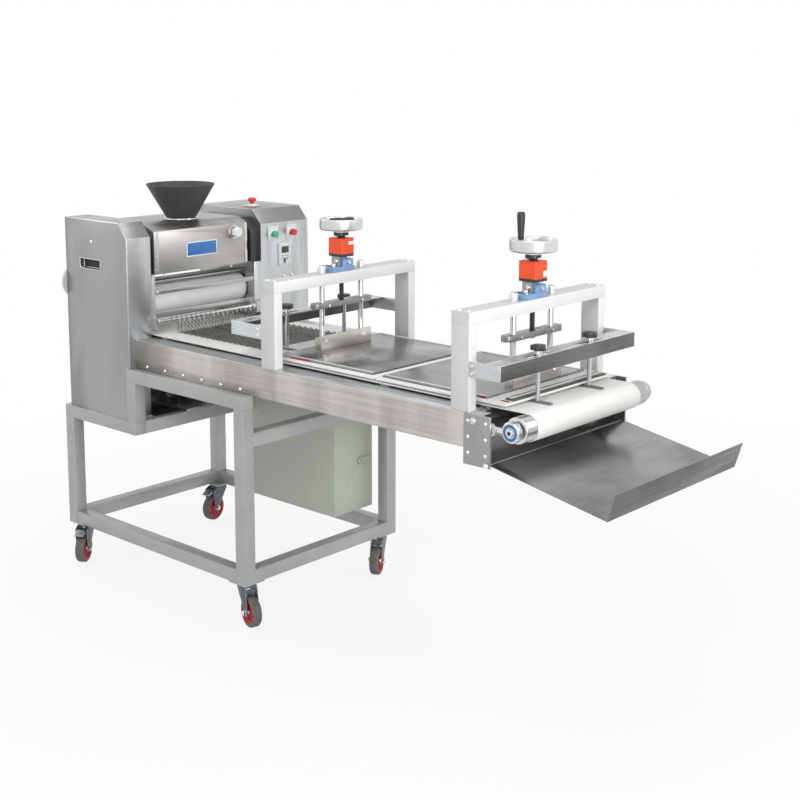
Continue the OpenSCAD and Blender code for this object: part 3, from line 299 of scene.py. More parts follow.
@dataclass(frozen=True)
class BrushedFinish:
    """Brushed or satin sheet metal with fine scratches and broad soft bands of painted reflection.
    """

    name: str
    slot: str
    colour: Colour
    shade: Colour
    grain: Grain = Grain.ALONG_X
    rough_low: float = 0.24
    rough_high: float = 0.42
    bump: float = 0.00003
    strength: float = 0.25
    # Scale of the broad soft bands in the base colour: painted reflections of the surroundings.
    painted_reflections: Point = (3.0, 3.0, 3.0)
    scratch: float = 0.12

    def build(self) -> bpy.types.Material:
        """Makes the material.

        Returns:
            A procedural metal whose grain, painted reflection bands and tone vary.
        """
        tree = MaterialTree(self.name)
        lines = tree.noise(1.0, 4.0, self.grain.value)
        # Broad bands between colour and shade: painted reflections.
        clouds = tree.noise(1.0, 3.0, self.painted_reflections)
        hairs = tree.math("MULTIPLY", tree.math("SUBTRACT", lines, 0.5), self.scratch * 4.0)
        tone = tree.math("ADD", clouds, hairs)
        both = tree.math("ADD", tree.math("MULTIPLY", lines, 0.6), clouds)
        tree.feed(tree.shader, {
            "Base Color": tree.mix(tree.remap(tone, 0.0, 1.0), self.colour, self.shade),
            "Roughness": tree.remap(both, self.rough_low, self.rough_high, 0.5, 1.1),
            "Normal": tree.bump(lines, self.bump, self.strength), "Metallic": 1.0})
        return tree.material


def grey(level: float, tint: float = 0.0) -> Colour:
    """Gives a grey, warmer above 0 and cooler below 0.

    Args:
        level: The grey's linear value.
        tint: Share by which red rises and blue falls.

    Returns:
        A linear colour.
    """
    return (level * (1.0 + tint), level, level * (1.0 - tint))


class Palette:
    """Every finish of the machine, built once and looked up by name."""

    FINISHES: tuple[Finish | BrushedFinish, ...] = (
        Finish("silver_frame_paint", "frame_paint", grey(0.42), grey(0.35), 0.32, 0.45, 0.35,
               6.0, 1400.0),
        BrushedFinish("beam_side", "stainless", grey(0.56, 0.055), grey(0.34, 0.07),
                      painted_reflections=(9.0, 1.0, 1.5)),
        # A lighter, cooler copy of the beam steel for faces that look up: painted light from above.
        BrushedFinish("beam_top", "stainless", grey(0.66, -0.03), grey(0.50, -0.03),
                      painted_reflections=(9.0, 5.0, 5.0)),
        BrushedFinish("housing_side", "stainless", grey(0.40, 0.005), grey(0.31), Grain.ALONG_Z,
                      0.3, 0.46, painted_reflections=(3.0, 3.0, 1.6), scratch=0.06),
        # Lit and shaded copies of the housing steel: the front painted lighter, the chamfer painted
        # darker.
        BrushedFinish("housing_front", "stainless", grey(0.62, -0.02), grey(0.46, -0.03),
                      Grain.ALONG_Z, 0.24, 0.4, painted_reflections=(4.0, 22.0, 3.0)),
        BrushedFinish("housing_slope", "stainless", grey(0.30, 0.01), grey(0.22), Grain.ALONG_Y,
                      0.24, 0.4),
        BrushedFinish("stainless_across", "stainless", grey(0.56), grey(0.42), Grain.ALONG_Y,
                      0.24, 0.4, painted_reflections=(4.0, 4.0, 4.0)),
        BrushedFinish("hood_steel", "stainless", grey(0.50, 0.03), grey(0.40, 0.035),
                      Grain.ALONG_Y, 0.32, 0.46, painted_reflections=(3.0, 5.0, 9.0), scratch=0.1),
        # Light strip steel, also a painted highlight on the rounded edges of the housings and the
        # carriers.
        BrushedFinish("hood_strip", "stainless", grey(0.64, 0.02), grey(0.54, 0.02), Grain.ALONG_Z),
        # A darker shaded copy of the hood steel for its chamfer: painted shade.
        BrushedFinish("hood_slope", "stainless", grey(0.40, 0.03), grey(0.22, 0.03),
                      Grain.ALONG_Y, 0.24, 0.4, painted_reflections=(5.0, 11.0, 5.0)),
        Finish("zinc_plating", "zinc", grey(0.40, -0.06), grey(0.26, -0.06), 0.25, 0.42, 0.9,
               26.0, 1200.0),
        Finish("castor_steel", "zinc", grey(0.16, -0.12), grey(0.10, -0.1), 0.3, 0.45, 0.8,
               30.0, 1200.0),
        Finish("bright_steel", "zinc", grey(0.74, -0.01), grey(0.60), 0.12, 0.24, 1.0, 30.0,
               900.0, 0.00001),
        Finish("bolt_white", "zinc", grey(0.82), grey(0.7), 0.2, 0.3, 0.7, 60.0, 900.0, 0.00001),
        Finish("dull_steel", "stainless", grey(0.34, 0.01), grey(0.24), 0.3, 0.46, 0.9, 14.0,
               1100.0),
        # A darker shaded copy of the carriers' steel for faces that look front, back and down:
        # painted shade.
        BrushedFinish("carrier_steel", "stainless", grey(0.19), grey(0.12), Grain.ALONG_Y, 0.26,
                      0.42, painted_reflections=(5.0, 7.0, 5.0)),
        BrushedFinish("shoe_steel", "stainless", grey(0.62, 0.05), grey(0.46, 0.05),
                      Grain.ALONG_Y, 0.26, 0.42, painted_reflections=(5.0, 6.0, 5.0)),
        # A near black sheet under the head: painted shade.
        Finish("pan_dark", "motor_dark", grey(0.035, 0.15), grey(0.02, 0.1), 0.3, 0.45, 0.5,
               18.0, 900.0),
        Finish("chrome_rod", "stainless", grey(0.66, -0.02), grey(0.56, -0.02), 0.06, 0.14, 1.0,
               20.0, 700.0, 0.000005),
        Finish("screw_dark", "handwheel", grey(0.10), grey(0.06), 0.3, 0.42, 0.8, 60.0, 900.0),
        Finish("wire_steel", "zinc", grey(0.20, 0.06), grey(0.10, 0.06), 0.25, 0.42, 0.85,
               40.0, 1500.0),
        Finish("rim_red", "castor_wheel", (0.42, 0.018, 0.03), (0.33, 0.012, 0.022), 0.35, 0.5,
               0.0, 30.0, 900.0),
        Finish("tread_grey", "castor_wheel", (0.155, 0.145, 0.135), (0.10, 0.095, 0.09), 0.6, 0.8,
               0.0, 60.0, 700.0, 0.0001),
        Finish("roller_white", "roller_white", grey(0.88, 0.005), grey(0.85, 0.005), 0.22, 0.34,
               0.0, 5.0, 500.0, 0.00002, 0.2, 0.25),
        Finish("belt_white", "belt_white", (0.82, 0.82, 0.80), (0.77, 0.765, 0.74), 0.5, 0.65,
               0.0, 3.0, 1800.0, 0.00006, 0.5),
        BrushedFinish("turned_aluminium", "roller_steel", grey(0.62, -0.01), grey(0.46, -0.01),
                      Grain.ALONG_Y, 0.2, 0.34, painted_reflections=(6.0, 6.0, 6.0)),
        Finish("black_plastic", "black_plastic", grey(0.018), grey(0.03), 0.3, 0.45, 0.0, 20.0,
               1600.0),
        # Near black for recesses, holes, slots and vents: painted shade.
        Finish("black_void", "head_dark", grey(0.014), grey(0.022), 0.5, 0.7),
        Finish("hopper_black", "hopper_black", grey(0.050, 0.04), grey(0.038, 0.04), 0.5, 0.62,
               0.0, 8.0, 700.0, 0.00008),
        Finish("plate_blue", "blue_plate", (0.03, 0.16, 0.48), (0.026, 0.14, 0.44), 0.25, 0.35,
               0.0, 20.0, 900.0, 0.00001, 0.2, 0.3),
        Finish("plate_white", "blue_plate", grey(0.86), grey(0.82), 0.3, 0.42),
        Finish("white_plastic", "white_plastic", grey(0.80, 0.01), grey(0.74, 0.015), 0.25, 0.36,
               0.0, 14.0, 1100.0, 0.00003, 0.2, 0.15),
        Finish("panel_white", "panel_white", grey(0.78, -0.01), grey(0.73, -0.01), 0.35, 0.5),
        Finish("display_dark", "panel_white", grey(0.02, -0.1), grey(0.03, -0.1), 0.12, 0.2, 0.0,
               30.0, 600.0, 0.00001, 0.1, 0.5),
        Finish("lamp_cyan", "panel_white", (0.03, 0.55, 0.62), (0.03, 0.48, 0.55), 0.2, 0.3),
        Finish("ring_amber", "panel_white", (0.42, 0.17, 0.06), (0.34, 0.13, 0.05), 0.35, 0.5),
        Finish("stop_red", "red_plastic", (0.68, 0.015, 0.03), (0.60, 0.012, 0.025), 0.22, 0.32,
               0.0, 20.0, 800.0, 0.00002, 0.2, 0.3),
        Finish("start_green", "green_plastic", (0.06, 0.47, 0.34), (0.05, 0.41, 0.30), 0.22, 0.32,
               0.0, 20.0, 800.0, 0.00002, 0.2, 0.3),
        # A lighter copy of the gantry paint for faces that look front: painted light.
        Finish("gantry_white", "gantry_paint", grey(0.80), grey(0.76), 0.34, 0.48, 0.0, 5.0,
               1300.0),
        Finish("gantry_grey", "gantry_paint", grey(0.60, -0.005), grey(0.54, -0.005), 0.34, 0.48,
               0.1, 5.0, 1300.0),
        Finish("cast_blue", "cast_blue", (0.23, 0.38, 0.62), (0.18, 0.31, 0.53), 0.35, 0.5, 0.0,
               30.0, 420.0, 0.0002),
        Finish("indicator_orange", "orange_plastic", (0.83, 0.085, 0.018), (0.77, 0.07, 0.014),
               0.3, 0.42, 0.0, 14.0, 1500.0, 0.00005),
        Finish("board_white", "board", grey(0.84, 0.005), grey(0.79, 0.01), 0.38, 0.52),
        BrushedFinish("board_steel", "board", grey(0.36, 0.02), grey(0.17, 0.02),
                      Grain.ALONG_X, 0.16, 0.32, painted_reflections=(3.0, 5.0, 3.0)),
        BrushedFinish("nose_steel", "board", grey(0.15), grey(0.08), Grain.ALONG_Y, 0.24, 0.4),
        BrushedFinish("tray_steel", "stainless", grey(0.36), grey(0.13), Grain.ALONG_Y, 0.16, 0.32,
                      painted_reflections=(3.5, 3.0, 3.5), scratch=0.06),
        # A darker shaded copy of the tray steel for faces that look front and back: painted shade.
        BrushedFinish("tray_lip", "stainless", grey(0.20), grey(0.09), Grain.ALONG_Y, 0.18, 0.34,
                      painted_reflections=(4.0, 4.0, 4.0)),
        Finish("edge_red", "board", (0.55, 0.03, 0.02), (0.47, 0.025, 0.02), 0.4, 0.5),
        Finish("wheel_aluminium", "handwheel", grey(0.70, -0.01), grey(0.60, -0.01), 0.26, 0.38,
               0.9, 12.0, 700.0, 0.00002),
        Finish("foot_grey", "stainless", grey(0.22, -0.1), grey(0.15, -0.08), 0.35, 0.5, 0.5),
        Finish("cabinet_paint", "cabinet_paint", (0.50, 0.53, 0.465), (0.44, 0.47, 0.41), 0.42,
               0.56, 0.0, 4.0, 1200.0, 0.00006),
        Finish("motor_grey", "motor_dark", grey(0.065, -0.04), grey(0.046, -0.04), 0.45, 0.6, 0.1,
               12.0, 500.0, 0.0001),
        Finish("seal_blue", "bearing_blue", (0.03, 0.12, 0.33), (0.025, 0.10, 0.28), 0.35, 0.5),
        BrushedFinish("head_steel", "head_dark", grey(0.50, 0.015), grey(0.36, 0.02),
                      Grain.ALONG_Z, 0.26, 0.42, painted_reflections=(6.0, 6.0, 9.0)),
    )

    def __init__(self) -> None:
        """Builds every material."""
        self.materials = {finish.name: finish.build() for finish in self.FINISHES}
        self.slots = {finish.name: finish.slot for finish in self.FINISHES}

    def __getitem__(self, name: str) -> bpy.types.Material:
        """Gives a material by its finish's name."""
        return self.materials[name]


class Workshop:
    """Holds what every part needs: the frame, the axes, the palette and the fixings."""

    def __init__(self, frame: dict, axes: Axes, palette: Palette) -> None:
        """Keeps the shared tools.

        Args:
            axes: The machine's axes.
            palette: The finishes.
        """
        self.frame = frame
        self.axes = axes
        self.palette = palette
        bodies = frame["record"]["behaviour"]["bodies"]
        self.body_of = {node: body for body, nodes in bodies.items() for node in nodes}
        self.slot_of = {s["node"]: s["material_slot"] for s in frame["record"]["subparts"]}
        self.fixings = Fixings(self)

    def add_object(self, name: str, mesh: bpy.types.Mesh, body: str, finishes: Iterable[str],
                   smooth: float = SHARP_ANGLE) -> bpy.types.Object:
        """Puts a mesh in the scene with its finishes and lets it ride on a body.

        Args:
            name: The piece's name.
            mesh: Its mesh, in the frame's metres.
            body: The CAD body it moves with.
            finishes: Finish names, in the order of the mesh's material indices.
            smooth: Angle in degrees above which an edge stays sharp.

        Returns:
            The new object.
        """
        names = list(finishes)
        for number, finish in enumerate(names):
            if number < len(mesh.materials):
                mesh.materials[number] = self.palette[finish]
            else:
                mesh.materials.append(self.palette[finish])
        obj = put(name, mesh)
        mesh.shade_smooth()
        mesh.set_sharp_from_angle(angle=math.radians(smooth))
        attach(obj, body)
        LOG.info("piece %s on %s: %d faces", name, body, len(mesh.polygons))
        return obj

    def bake(self, obj: bpy.types.Object) -> bpy.types.Mesh:
        """Applies an object's modifiers.


        Returns:
            The resulting plain mesh. The object is removed.
        """
        graph = bpy.context.evaluated_depsgraph_get()
        graph.update()
        mesh = bpy.data.meshes.new_from_object(obj.evaluated_get(graph))
        bpy.data.objects.remove(obj)
        return mesh

    def bevelled(self, bm: bmesh.types.BMesh, name: str, width: float,
                 segments: int = 2, edge: int = -1) -> bpy.types.Mesh:
        """Rounds a mesh's sharp edges.

        Args:
            bm: The mesh in work, which this call frees.
            name: Name of the result.
            width: Bevel width in millimetres, or 0 for none.
            segments: Steps across the bevel.
            edge: Finish index of the rounded edges, or -1 for that of their faces.

        Returns:
            A plain mesh.
        """
        mesh = bpy.data.meshes.new(name)
        bm.to_mesh(mesh)
        bm.free()
        if width <= 0:
            return mesh
        for _ in range(edge + 1):
            mesh.materials.append(None)
        obj = put(name, mesh)
        bevel = obj.modifiers.new("edge", "BEVEL")
        bevel.material = edge
        bevel.width = width * MM
        bevel.segments = segments
        bevel.limit_method = "ANGLE"
        bevel.angle_limit = math.radians(SHARP_ANGLE)
        bevel.use_clamp_overlap = True
        result = self.bake(obj)
        result.name = name
        return result

    def dress(self, node: str, finishes: Iterable[str], width: float = 0.8,
              rule: Rule | None = None, cuts: Iterable[Cut] = (),
              smooth: float = SHARP_ANGLE, edge: int = -1) -> None:
        """Replaces a CAD node by a copy with rounded edges and finishes.

        Args:
            node: The CAD node.
            finishes: Finish names.
            width: Width of the edge rounding in millimetres.
            rule: Gives a finish's index, or DELETE, from a face's centre in machine millimetres
                and its normal.
            cuts: Planes, as a point and a normal, at which the finish may change.
            smooth: Angle above which an edge stays sharp.
            edge: Finish index of the rounded edges, or -1 for that of their faces.
        """
        bm = bmesh.new()
        bm.from_mesh(self.frame["nodes"][node].data)
        bmesh.ops.remove_doubles(bm, verts=bm.verts, dist=1e-6)
        bmesh.ops.dissolve_limit(bm, angle_limit=math.radians(0.6), verts=bm.verts, edges=bm.edges)
        for point, normal in cuts:
            bmesh.ops.bisect_plane(bm, geom=[*bm.verts, *bm.edges, *bm.faces],
                                   plane_co=self.axes.at(*point), plane_no=normal)
        unwanted = []
        for face in bm.faces if rule is not None else ():
            paint = rule(self.axes.back(face.calc_center_median()), face.normal)
            if paint == DELETE:
                unwanted.append(face)
            else:
                face.material_index = paint
        bmesh.ops.delete(bm, geom=unwanted, context="FACES")
        mesh = self.bevelled(bm, node + "_skin", width, edge=edge)
        obj = self.add_object(node + "_skin", mesh, self.body_of[node], finishes, smooth)
        self.stand_for(obj, node)

    def stand_for(self, obj: bpy.types.Object, *nodes: str) -> None:
        """Lets a piece stand for CAD nodes by hiding them."""
        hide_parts(*nodes)


class Sculptor:
    """Collects closed shapes, in machine millimetres, that become one piece."""

    def __init__(self, shop: Workshop) -> None:
        """Starts an empty piece."""
        self.shop = shop
        self.bm = bmesh.new()

    def add(self, points: Iterable[Sequence[float]], faces: Iterable[Sequence[int]],
            paint: int = 0) -> None:
        """Adds a shape from its points and faces.

        Args:
            points: Machine points.
            faces: Indices of each face's points.
            paint: Index of the finish.
        """
        verts = [self.bm.verts.new(self.shop.axes.at(*point)) for point in points]
        for face in faces:
            self.bm.faces.new([verts[i] for i in face]).material_index = paint

    def prism(self, outline: Sequence[Sequence[float]], along: Sequence[float],
              paint: int = 0) -> None:
        """Adds a flat outline drawn out along a vector.

        Args:
            outline: Machine points in order.
            along: The vector.
            paint: Index of the finish.
        """
        count = len(outline)
        far = [[p + a for p, a in zip(point, along)] for point in outline]
        sides = [(i, (i + 1) % count, (i + 1) % count + count, i + count) for i in range(count)]
        self.add([*outline, *far], [range(count), range(count, 2 * count), *sides], paint)

    def box(self, low: Point, high: Point, paint: int = 0) -> None:
        """Adds a box between two corners."""
        (x0, y0, z0), (x1, y1, z1) = low, high
        self.prism([(x0, y0, z0), (x1, y0, z0), (x1, y1, z0), (x0, y1, z0)], (0, 0, z1 - z0), paint)

    def lathe(self, base: Point, way: Sequence[float], profile: Sequence[Pair],
              paint: int | Sequence[int] = 0, steps: int = 32, closed: bool = False,
              lobes: tuple[int, float] = (0, 0.0)) -> None:
        """Turns a profile round an axis.

        Args:
            base: Point on the axis where heights start.
            way: Direction of the axis.
            profile: Pairs of height and radius, from one end to the other.
            paint: Finish index, or one index for each stretch of the profile.
            steps: Steps round the axis.
            closed: Whether the profile is a loop, as on a ring.
            lobes: Number of lobes round the axis and their depth as a share of the radius.
        """
        axis = Vector(way).normalized()
        side = axis.orthogonal().normalized()
        other = axis.cross(side)
        rings = []
        for height, radius in profile:
            centre = Vector(base) + axis * height
            turns = 1 if radius <= 0 else steps
            ring = []
            for k in range(turns):
                angle = 2 * math.pi * k / steps
                reach = radius * (1 + lobes[1] * math.cos(lobes[0] * angle))
                spot = centre + side * (reach * math.cos(angle)) + other * (reach * math.sin(angle))
                ring.append(self.bm.verts.new(self.shop.axes.at(*spot)))
            rings.append(ring)
        if closed:
            rings.append(rings[0])
        for number, (a, b) in enumerate(zip(rings, rings[1:])):
            index = paint if isinstance(paint, int) else paint[number]
            for k in range(steps):
                loop = [a[k % len(a)], a[(k + 1) % steps % len(a)],
                        b[(k + 1) % steps % len(b)], b[k % len(b)]]
                self.bm.faces.new(list(dict.fromkeys(loop))).material_index = index
        for ring, number in ((rings[0], 0), (rings[-1], -1)):
            if not closed and len(ring) > 1:
                index = paint if isinstance(paint, int) else paint[number]
                self.bm.faces.new(ring).material_index = index

    def nut(self, base: Point, way: Sequence[float], washer: float, radius: float,
            height: float) -> None:
        """Adds a hexagon nut in finish 1 on its washer."""
        self.lathe(base, way, [(0, washer), (1.2, washer), (1.2, radius), (height - 0.6, radius),
                               (height, radius - 0.8), (height, 0)], 1, 6)

    def rod(self, start: Point, end: Point, radius: float, paint: int = 0, steps: int = 24,
            edge: float = 0.6) -> None:
        """Adds a round bar whose ends are chamfered.

        Args:
            start: Machine point at one end.
            end: Machine point at the other.
            radius: The bar's radius.
            paint: Index of the finish.
            steps: Steps round the bar.
            edge: Width of the chamfers.
        """
        length = (Vector(end) - Vector(start)).length
        profile = [(0, radius - edge), (edge, radius), (length - edge, radius),
                   (length, radius - edge)]
        self.lathe(start, Vector(end) - Vector(start), profile, paint, steps)

    def tube(self, path: Sequence[Point], radius: float, paint: int = 0, sides: int = 8) -> None:
        """Sweeps a circle along a path.

        Args:
            path: Machine points along the middle.
            radius: The tube's radius.
            paint: Index of the finish.
            sides: Sides of the section.
        """
        spots = [Vector(p) for p in path]
        rings = []
        side = None
        for i, spot in enumerate(spots):
            ahead = (spots[min(i + 1, len(spots) - 1)] - spots[max(i - 1, 0)]).normalized()
            side = ahead.orthogonal() if side is None else side - ahead * side.dot(ahead)
            side.normalize()
            other = ahead.cross(side)
            angles = [2 * math.pi * k / sides for k in range(sides)]
            rings.append([spot + (side * math.cos(a) + other * math.sin(a)) * radius
                          for a in angles])
        points = [p for ring in rings for p in ring]
        last = len(points) - sides
        faces: list[Sequence[int]] = [range(sides), range(last, last + sides)]
        for i in range(len(rings) - 1):
            faces += [(i * sides + k, i * sides + (k + 1) % sides,
                       (i + 1) * sides + (k + 1) % sides, (i + 1) * sides + k)
                      for k in range(sides)]
        self.add(points, faces, paint)

    def mesh(self, name: str, bevel: float = 0.0) -> bpy.types.Mesh:
        """Ends the work with a mesh whose faces all point outwards."""
        bmesh.ops.recalc_face_normals(self.bm, faces=self.bm.faces)
        return self.shop.bevelled(self.bm, name, bevel)

    def piece(self, name: str, body: str, finishes: Iterable[str], bevel: float = 0.0,
              smooth: float = SHARP_ANGLE) -> bpy.types.Object:
        """Ends the work and puts the piece on a body.

        Args:
            name: The piece's name.
            body: The CAD body it moves with.
            finishes: Finish names.
            bevel: Width of the edge rounding in millimetres.
            smooth: Angle above which an edge stays sharp.

        Returns:
            The new object.
        """
        return self.shop.add_object(name, self.mesh(name, bevel), body, finishes, smooth)


class GeometryTree(Layout):
    """A Geometry Nodes tree with named inputs."""

    def __init__(self, name: str, inputs: dict[str, str]) -> None:
        """Starts a tree.

        Args:
            name: The tree's name.
            inputs: Socket kind of each named input, without the words NodeSocket.
        """
        super().__init__(bpy.data.node_groups.new(name, "GeometryNodeTree"))
        face = self.tree.interface
        self.keys = {key: face.new_socket(name=key, in_out="INPUT",
                                          socket_type="NodeSocket" + kind).identifier
                     for key, kind in {"Geometry": "Geometry", **inputs}.items()}
        face.new_socket(name="Geometry", in_out="OUTPUT", socket_type="NodeSocketGeometry")
        self.source = self.tree.nodes.new("NodeGroupInput").outputs
        self.out = self.tree.nodes.new("NodeGroupOutput")

    def finish(self, geometry: Socket) -> None:
        """Ends the tree with realized instances in the finish that is given.

        Args:
            geometry: What the tree has made.
        """
        real = self.add("GeometryNodeRealizeInstances", {"Geometry": geometry})
        paint = self.add("GeometryNodeSetMaterial",
                         {"Geometry": real.outputs[0], "Material": self.source["Finish"]})
        self.feed(self.out, {0: paint.outputs[0]})

    def run(self, shop: Workshop, points: Iterable[Vector], facings: Iterable[Vector],
            values: dict[str, object]) -> bpy.types.Mesh:
        """Runs the tree on loose points and bakes the result.

        Args:
            shop: The workshop that bakes.
            points: Points in metres.
            facings: The direction that each point looks in.
            values: Values of the named inputs.

        Returns:
            A plain mesh.
        """
        mesh = bpy.data.meshes.new(self.tree.name + "_points")
        mesh.from_pydata([tuple(p) for p in points], [], [])
        facing = mesh.attributes.new("facing", "FLOAT_VECTOR", "POINT")
        for spot, way in zip(facing.data, facings):
            spot.vector = way
        obj = put(mesh.name, mesh)
        modifier = obj.modifiers.new("nodes", "NODES")
        modifier.node_group = self.tree
        for key, value in values.items():
            modifier[self.keys[key]] = value
        return shop.bake(obj)


class ScatterTree(GeometryTree):
    """Puts a small shape on each point, turned at random about the way it looks."""

    def __init__(self) -> None:
        """Lays out the tree."""
        super().__init__("scatter_fixings", {"Shape": "Object", "Spin": "Float", "Seed": "Int",
                                             "Finish": "Material"})
        shape = self.add("GeometryNodeObjectInfo", {"Object": self.source["Shape"]},
                         transform_space="ORIGINAL")
        facing = self.add("GeometryNodeInputNamedAttribute", {"Name": "facing"},
                          data_type="FLOAT_VECTOR")
        aligned = self.add("FunctionNodeAlignRotationToVector",
                           {"Vector": facing.outputs["Attribute"]}, axis="Z")
        chance = self.add("FunctionNodeRandomValue", {3: self.source["Spin"],
                                                      "Seed": self.source["Seed"]},
                          data_type="FLOAT")
        spin = self.add("FunctionNodeAxisAngleToRotation",
                        {"Axis": (0.0, 0.0, 1.0), "Angle": chance.outputs[1]})
        turned = self.add("FunctionNodeRotateRotation",
                          {"Rotation": aligned.outputs[0], "Rotate By": spin.outputs[0]},
                          rotation_space="LOCAL")
        placed = self.add("GeometryNodeInstanceOnPoints",
                          {"Points": self.source["Geometry"],
                           "Instance": shape.outputs["Geometry"],
                           "Rotation": turned.outputs[0]})
        self.finish(placed.outputs[0])


class WeaveTree(GeometryTree):
    """Lays flattened wire spirals side by side, each half a turn out of step with the last."""

    def __init__(self) -> None:
        """Lays out the tree."""
        super().__init__("woven_wire", {
            "Rows": "Int", "Row Pitch": "Float", "Turns": "Float", "Width": "Float",
            "Half Reach": "Float", "Half Height": "Float", "Wire": "Float",
            "Finish": "Material"})
        spiral = self.add("GeometryNodeCurveSpiral", {
            "Resolution": 10, "Rotations": self.source["Turns"], "Start Radius": 1.0,
            "End Radius": 1.0, "Height": self.source["Width"]})
        flat = self.add("ShaderNodeCombineXYZ", {0: self.source["Half Reach"],
                                                 1: self.source["Half Height"], 2: 1.0})
        pressed = self.add("GeometryNodeTransform", {
            "Geometry": spiral.outputs[0], "Scale": flat.outputs[0]})
        laid = self.add("GeometryNodeTransform", {
            "Geometry": pressed.outputs[0], "Rotation": (-math.pi / 2, 0.0, 0.0)})
        section = self.add("GeometryNodeCurvePrimitiveCircle",
                           {"Resolution": 5, "Radius": self.source["Wire"]})
        wire = self.add("GeometryNodeCurveToMesh", {
            "Curve": laid.outputs[0], "Profile Curve": section.outputs[0], "Fill Caps": True})
        step = self.add("ShaderNodeCombineXYZ", {0: self.source["Row Pitch"]})
        rows = self.add("GeometryNodeMeshLine", {"Count": self.source["Rows"],
                                                 "Offset": step.outputs[0]})
        number = self.add("GeometryNodeInputIndex")
        odd = self.add("ShaderNodeMath", {0: number.outputs[0], 1: 2.0}, operation="MODULO")
        turn = self.add("ShaderNodeMath", {0: self.source["Width"], 1: self.source["Turns"]},
                        operation="DIVIDE")
        half = self.add("ShaderNodeMath", {0: turn.outputs[0], 1: 0.5}, operation="MULTIPLY")
        aside = self.add("ShaderNodeMath", {0: odd.outputs[0], 1: half.outputs[0]},
                         operation="MULTIPLY")
        shift = self.add("ShaderNodeCombineXYZ", {1: aside.outputs[0]})
        spread = self.add("GeometryNodeSetPosition", {"Geometry": rows.outputs[0],
                                                      "Offset": shift.outputs[0]})
        placed = self.add("GeometryNodeInstanceOnPoints", {"Points": spread.outputs[0],
                                                           "Instance": wire.outputs[0]})
        self.finish(placed.outputs[0])


class Head(Enum):
    """The small fixings, each with its profile of height and radius and its steps."""

    DOME_BOLT = (((-1.0, 5.0), (0.0, 5.0), (1.2, 4.7), (2.4, 3.6), (3.0, 2.4), (3.0, 1.5),
                  (1.4, 1.4), (1.4, 0.0)), 20)
    HEX_BOLT = (((-0.5, 7.4), (0.8, 7.4), (0.8, 6.2), (4.4, 6.2), (5.2, 5.4), (5.2, 0.0)), 6)
    ACORN_NUT = (((-0.5, 7.0), (1.0, 7.0), (1.0, 5.6), (4.5, 5.6), (6.6, 4.6), (8.2, 2.8),
                  (9.0, 0.0)), 18)
    STUD = (((-0.5, 2.4), (0.0, 2.4), (0.8, 1.8), (1.1, 0.0)), 12)
    PLUG = (((-0.5, 7.0), (0.4, 7.0), (1.6, 6.2), (2.2, 3.0), (2.3, 0.0)), 20)
    CAP_SCREW = (((-0.5, 4.6), (3.6, 4.6), (4.2, 4.1), (4.2, 2.2), (2.2, 2.0), (2.2, 0.0)), 16)


class Fixings:
    """Scatters fixings over the machine with one tree."""

    def __init__(self, shop: Workshop) -> None:
        """Makes the tree and the shapes, which stay out of the scene.

        Args:
            shop: The workshop.
        """
        self.shop = shop
        self.tree = ScatterTree()
        self.shapes = {head: self.shape(head) for head in Head}

    def shape(self, head: Head) -> bpy.types.Object:
        """Turns one fixing's shape about the origin.

        Args:
            head: The fixing.

        Returns:
            An object that isn't in the scene.
        """
        profile, steps = head.value
        tool = Sculptor(self.shop)
        start = self.shop.axes.back(Vector())
        tool.lathe(start, Z_AXIS, profile, steps=steps)
        mesh = tool.mesh(head.name.lower())
        mesh.shade_smooth()
        mesh.set_sharp_from_angle(angle=math.radians(SHARP_ANGLE))
        return bpy.data.objects.new(mesh.name, mesh)

    def scatter(self, name: str, head: Head, body: str, finish: str,
                spots: Iterable[tuple[Point, Way | Point]], seed: int = 3) -> bpy.types.Object:
        """Puts one kind of fixing on many spots of a body.

        Args:
            name: Name of the piece.
            head: The fixing.
            body: The CAD body it rides on.
            finish: Its finish.
            spots: Machine points on the surface, with the way that each looks.
            seed: Seed of the random turns.

        Returns:
            The new object.
        """
        places = list(spots)
        facings = [Vector(way.value if isinstance(way, Way) else way) for _, way in places]
        mesh = self.tree.run(self.shop, [self.shop.axes.at(*spot) for spot, _ in places], facings, {
            "Shape": self.shapes[head], "Spin": 2 * math.pi, "Seed": seed,
            "Finish": self.shop.palette[finish]})
        mesh.name = name
        return self.shop.add_object(name, mesh, body, (finish,))

    def clear(self) -> None:
        """Takes the fixings' own shapes away once all are scattered."""
        for shape in self.shapes.values():
            bpy.data.objects.remove(shape)


class Part:
    """A sub-assembly of the machine, with the workshop that it is built in."""

    shop: Workshop

    def build_in(self, shop: Workshop) -> None:
        """Takes the workshop and builds the part."""
        self.shop = shop
        self.build()

    def build(self) -> None:
        """Makes the part's pieces, which each part does in its own way."""
        raise NotImplementedError


@dataclass
class WeldedFrame(Part):
    """The square tube frame with its weld seams."""

    tube: float = 40.0
    length: float = 865.0
    width: float = 640.0
    bead: float = 1.6

    def build(self) -> None:
        """Dresses the tubes and runs beads along the joints of the legs."""
        for node in ("frame_legs", "frame_rails", "frame_crossbars"):
            self.shop.dress(node, ("silver_frame_paint",), 2.5)
        tool = Sculptor(self.shop)
        rail_low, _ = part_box("frame_rails")
        low = self.shop.axes.back(rail_low).z
        for x in (self.tube, self.length - self.tube):
            for y in (0.0, self.width - self.tube):
                self.ring(tool, x, y, low)
        tool.piece("weld_beads", "base", ("silver_frame_paint",))

    def ring(self, tool: Sculptor, x: float, y: float, z: float) -> None:
        """Runs a bead round one rail's end where it meets its leg.

        Args:
            tool: The piece in work.
            x: The rail's end.
            y: Its near face.
            z: Its underside.
        """
        t = self.tube
        inset = 3.0
        tool.tube([(x, y, z + inset), (x, y, z + t - inset)], self.bead)
        tool.tube([(x, y + t, z + inset), (x, y + t, z + t - inset)], self.bead)
        tool.tube([(x, y + inset, z + t), (x, y + t - inset, z + t)], self.bead)


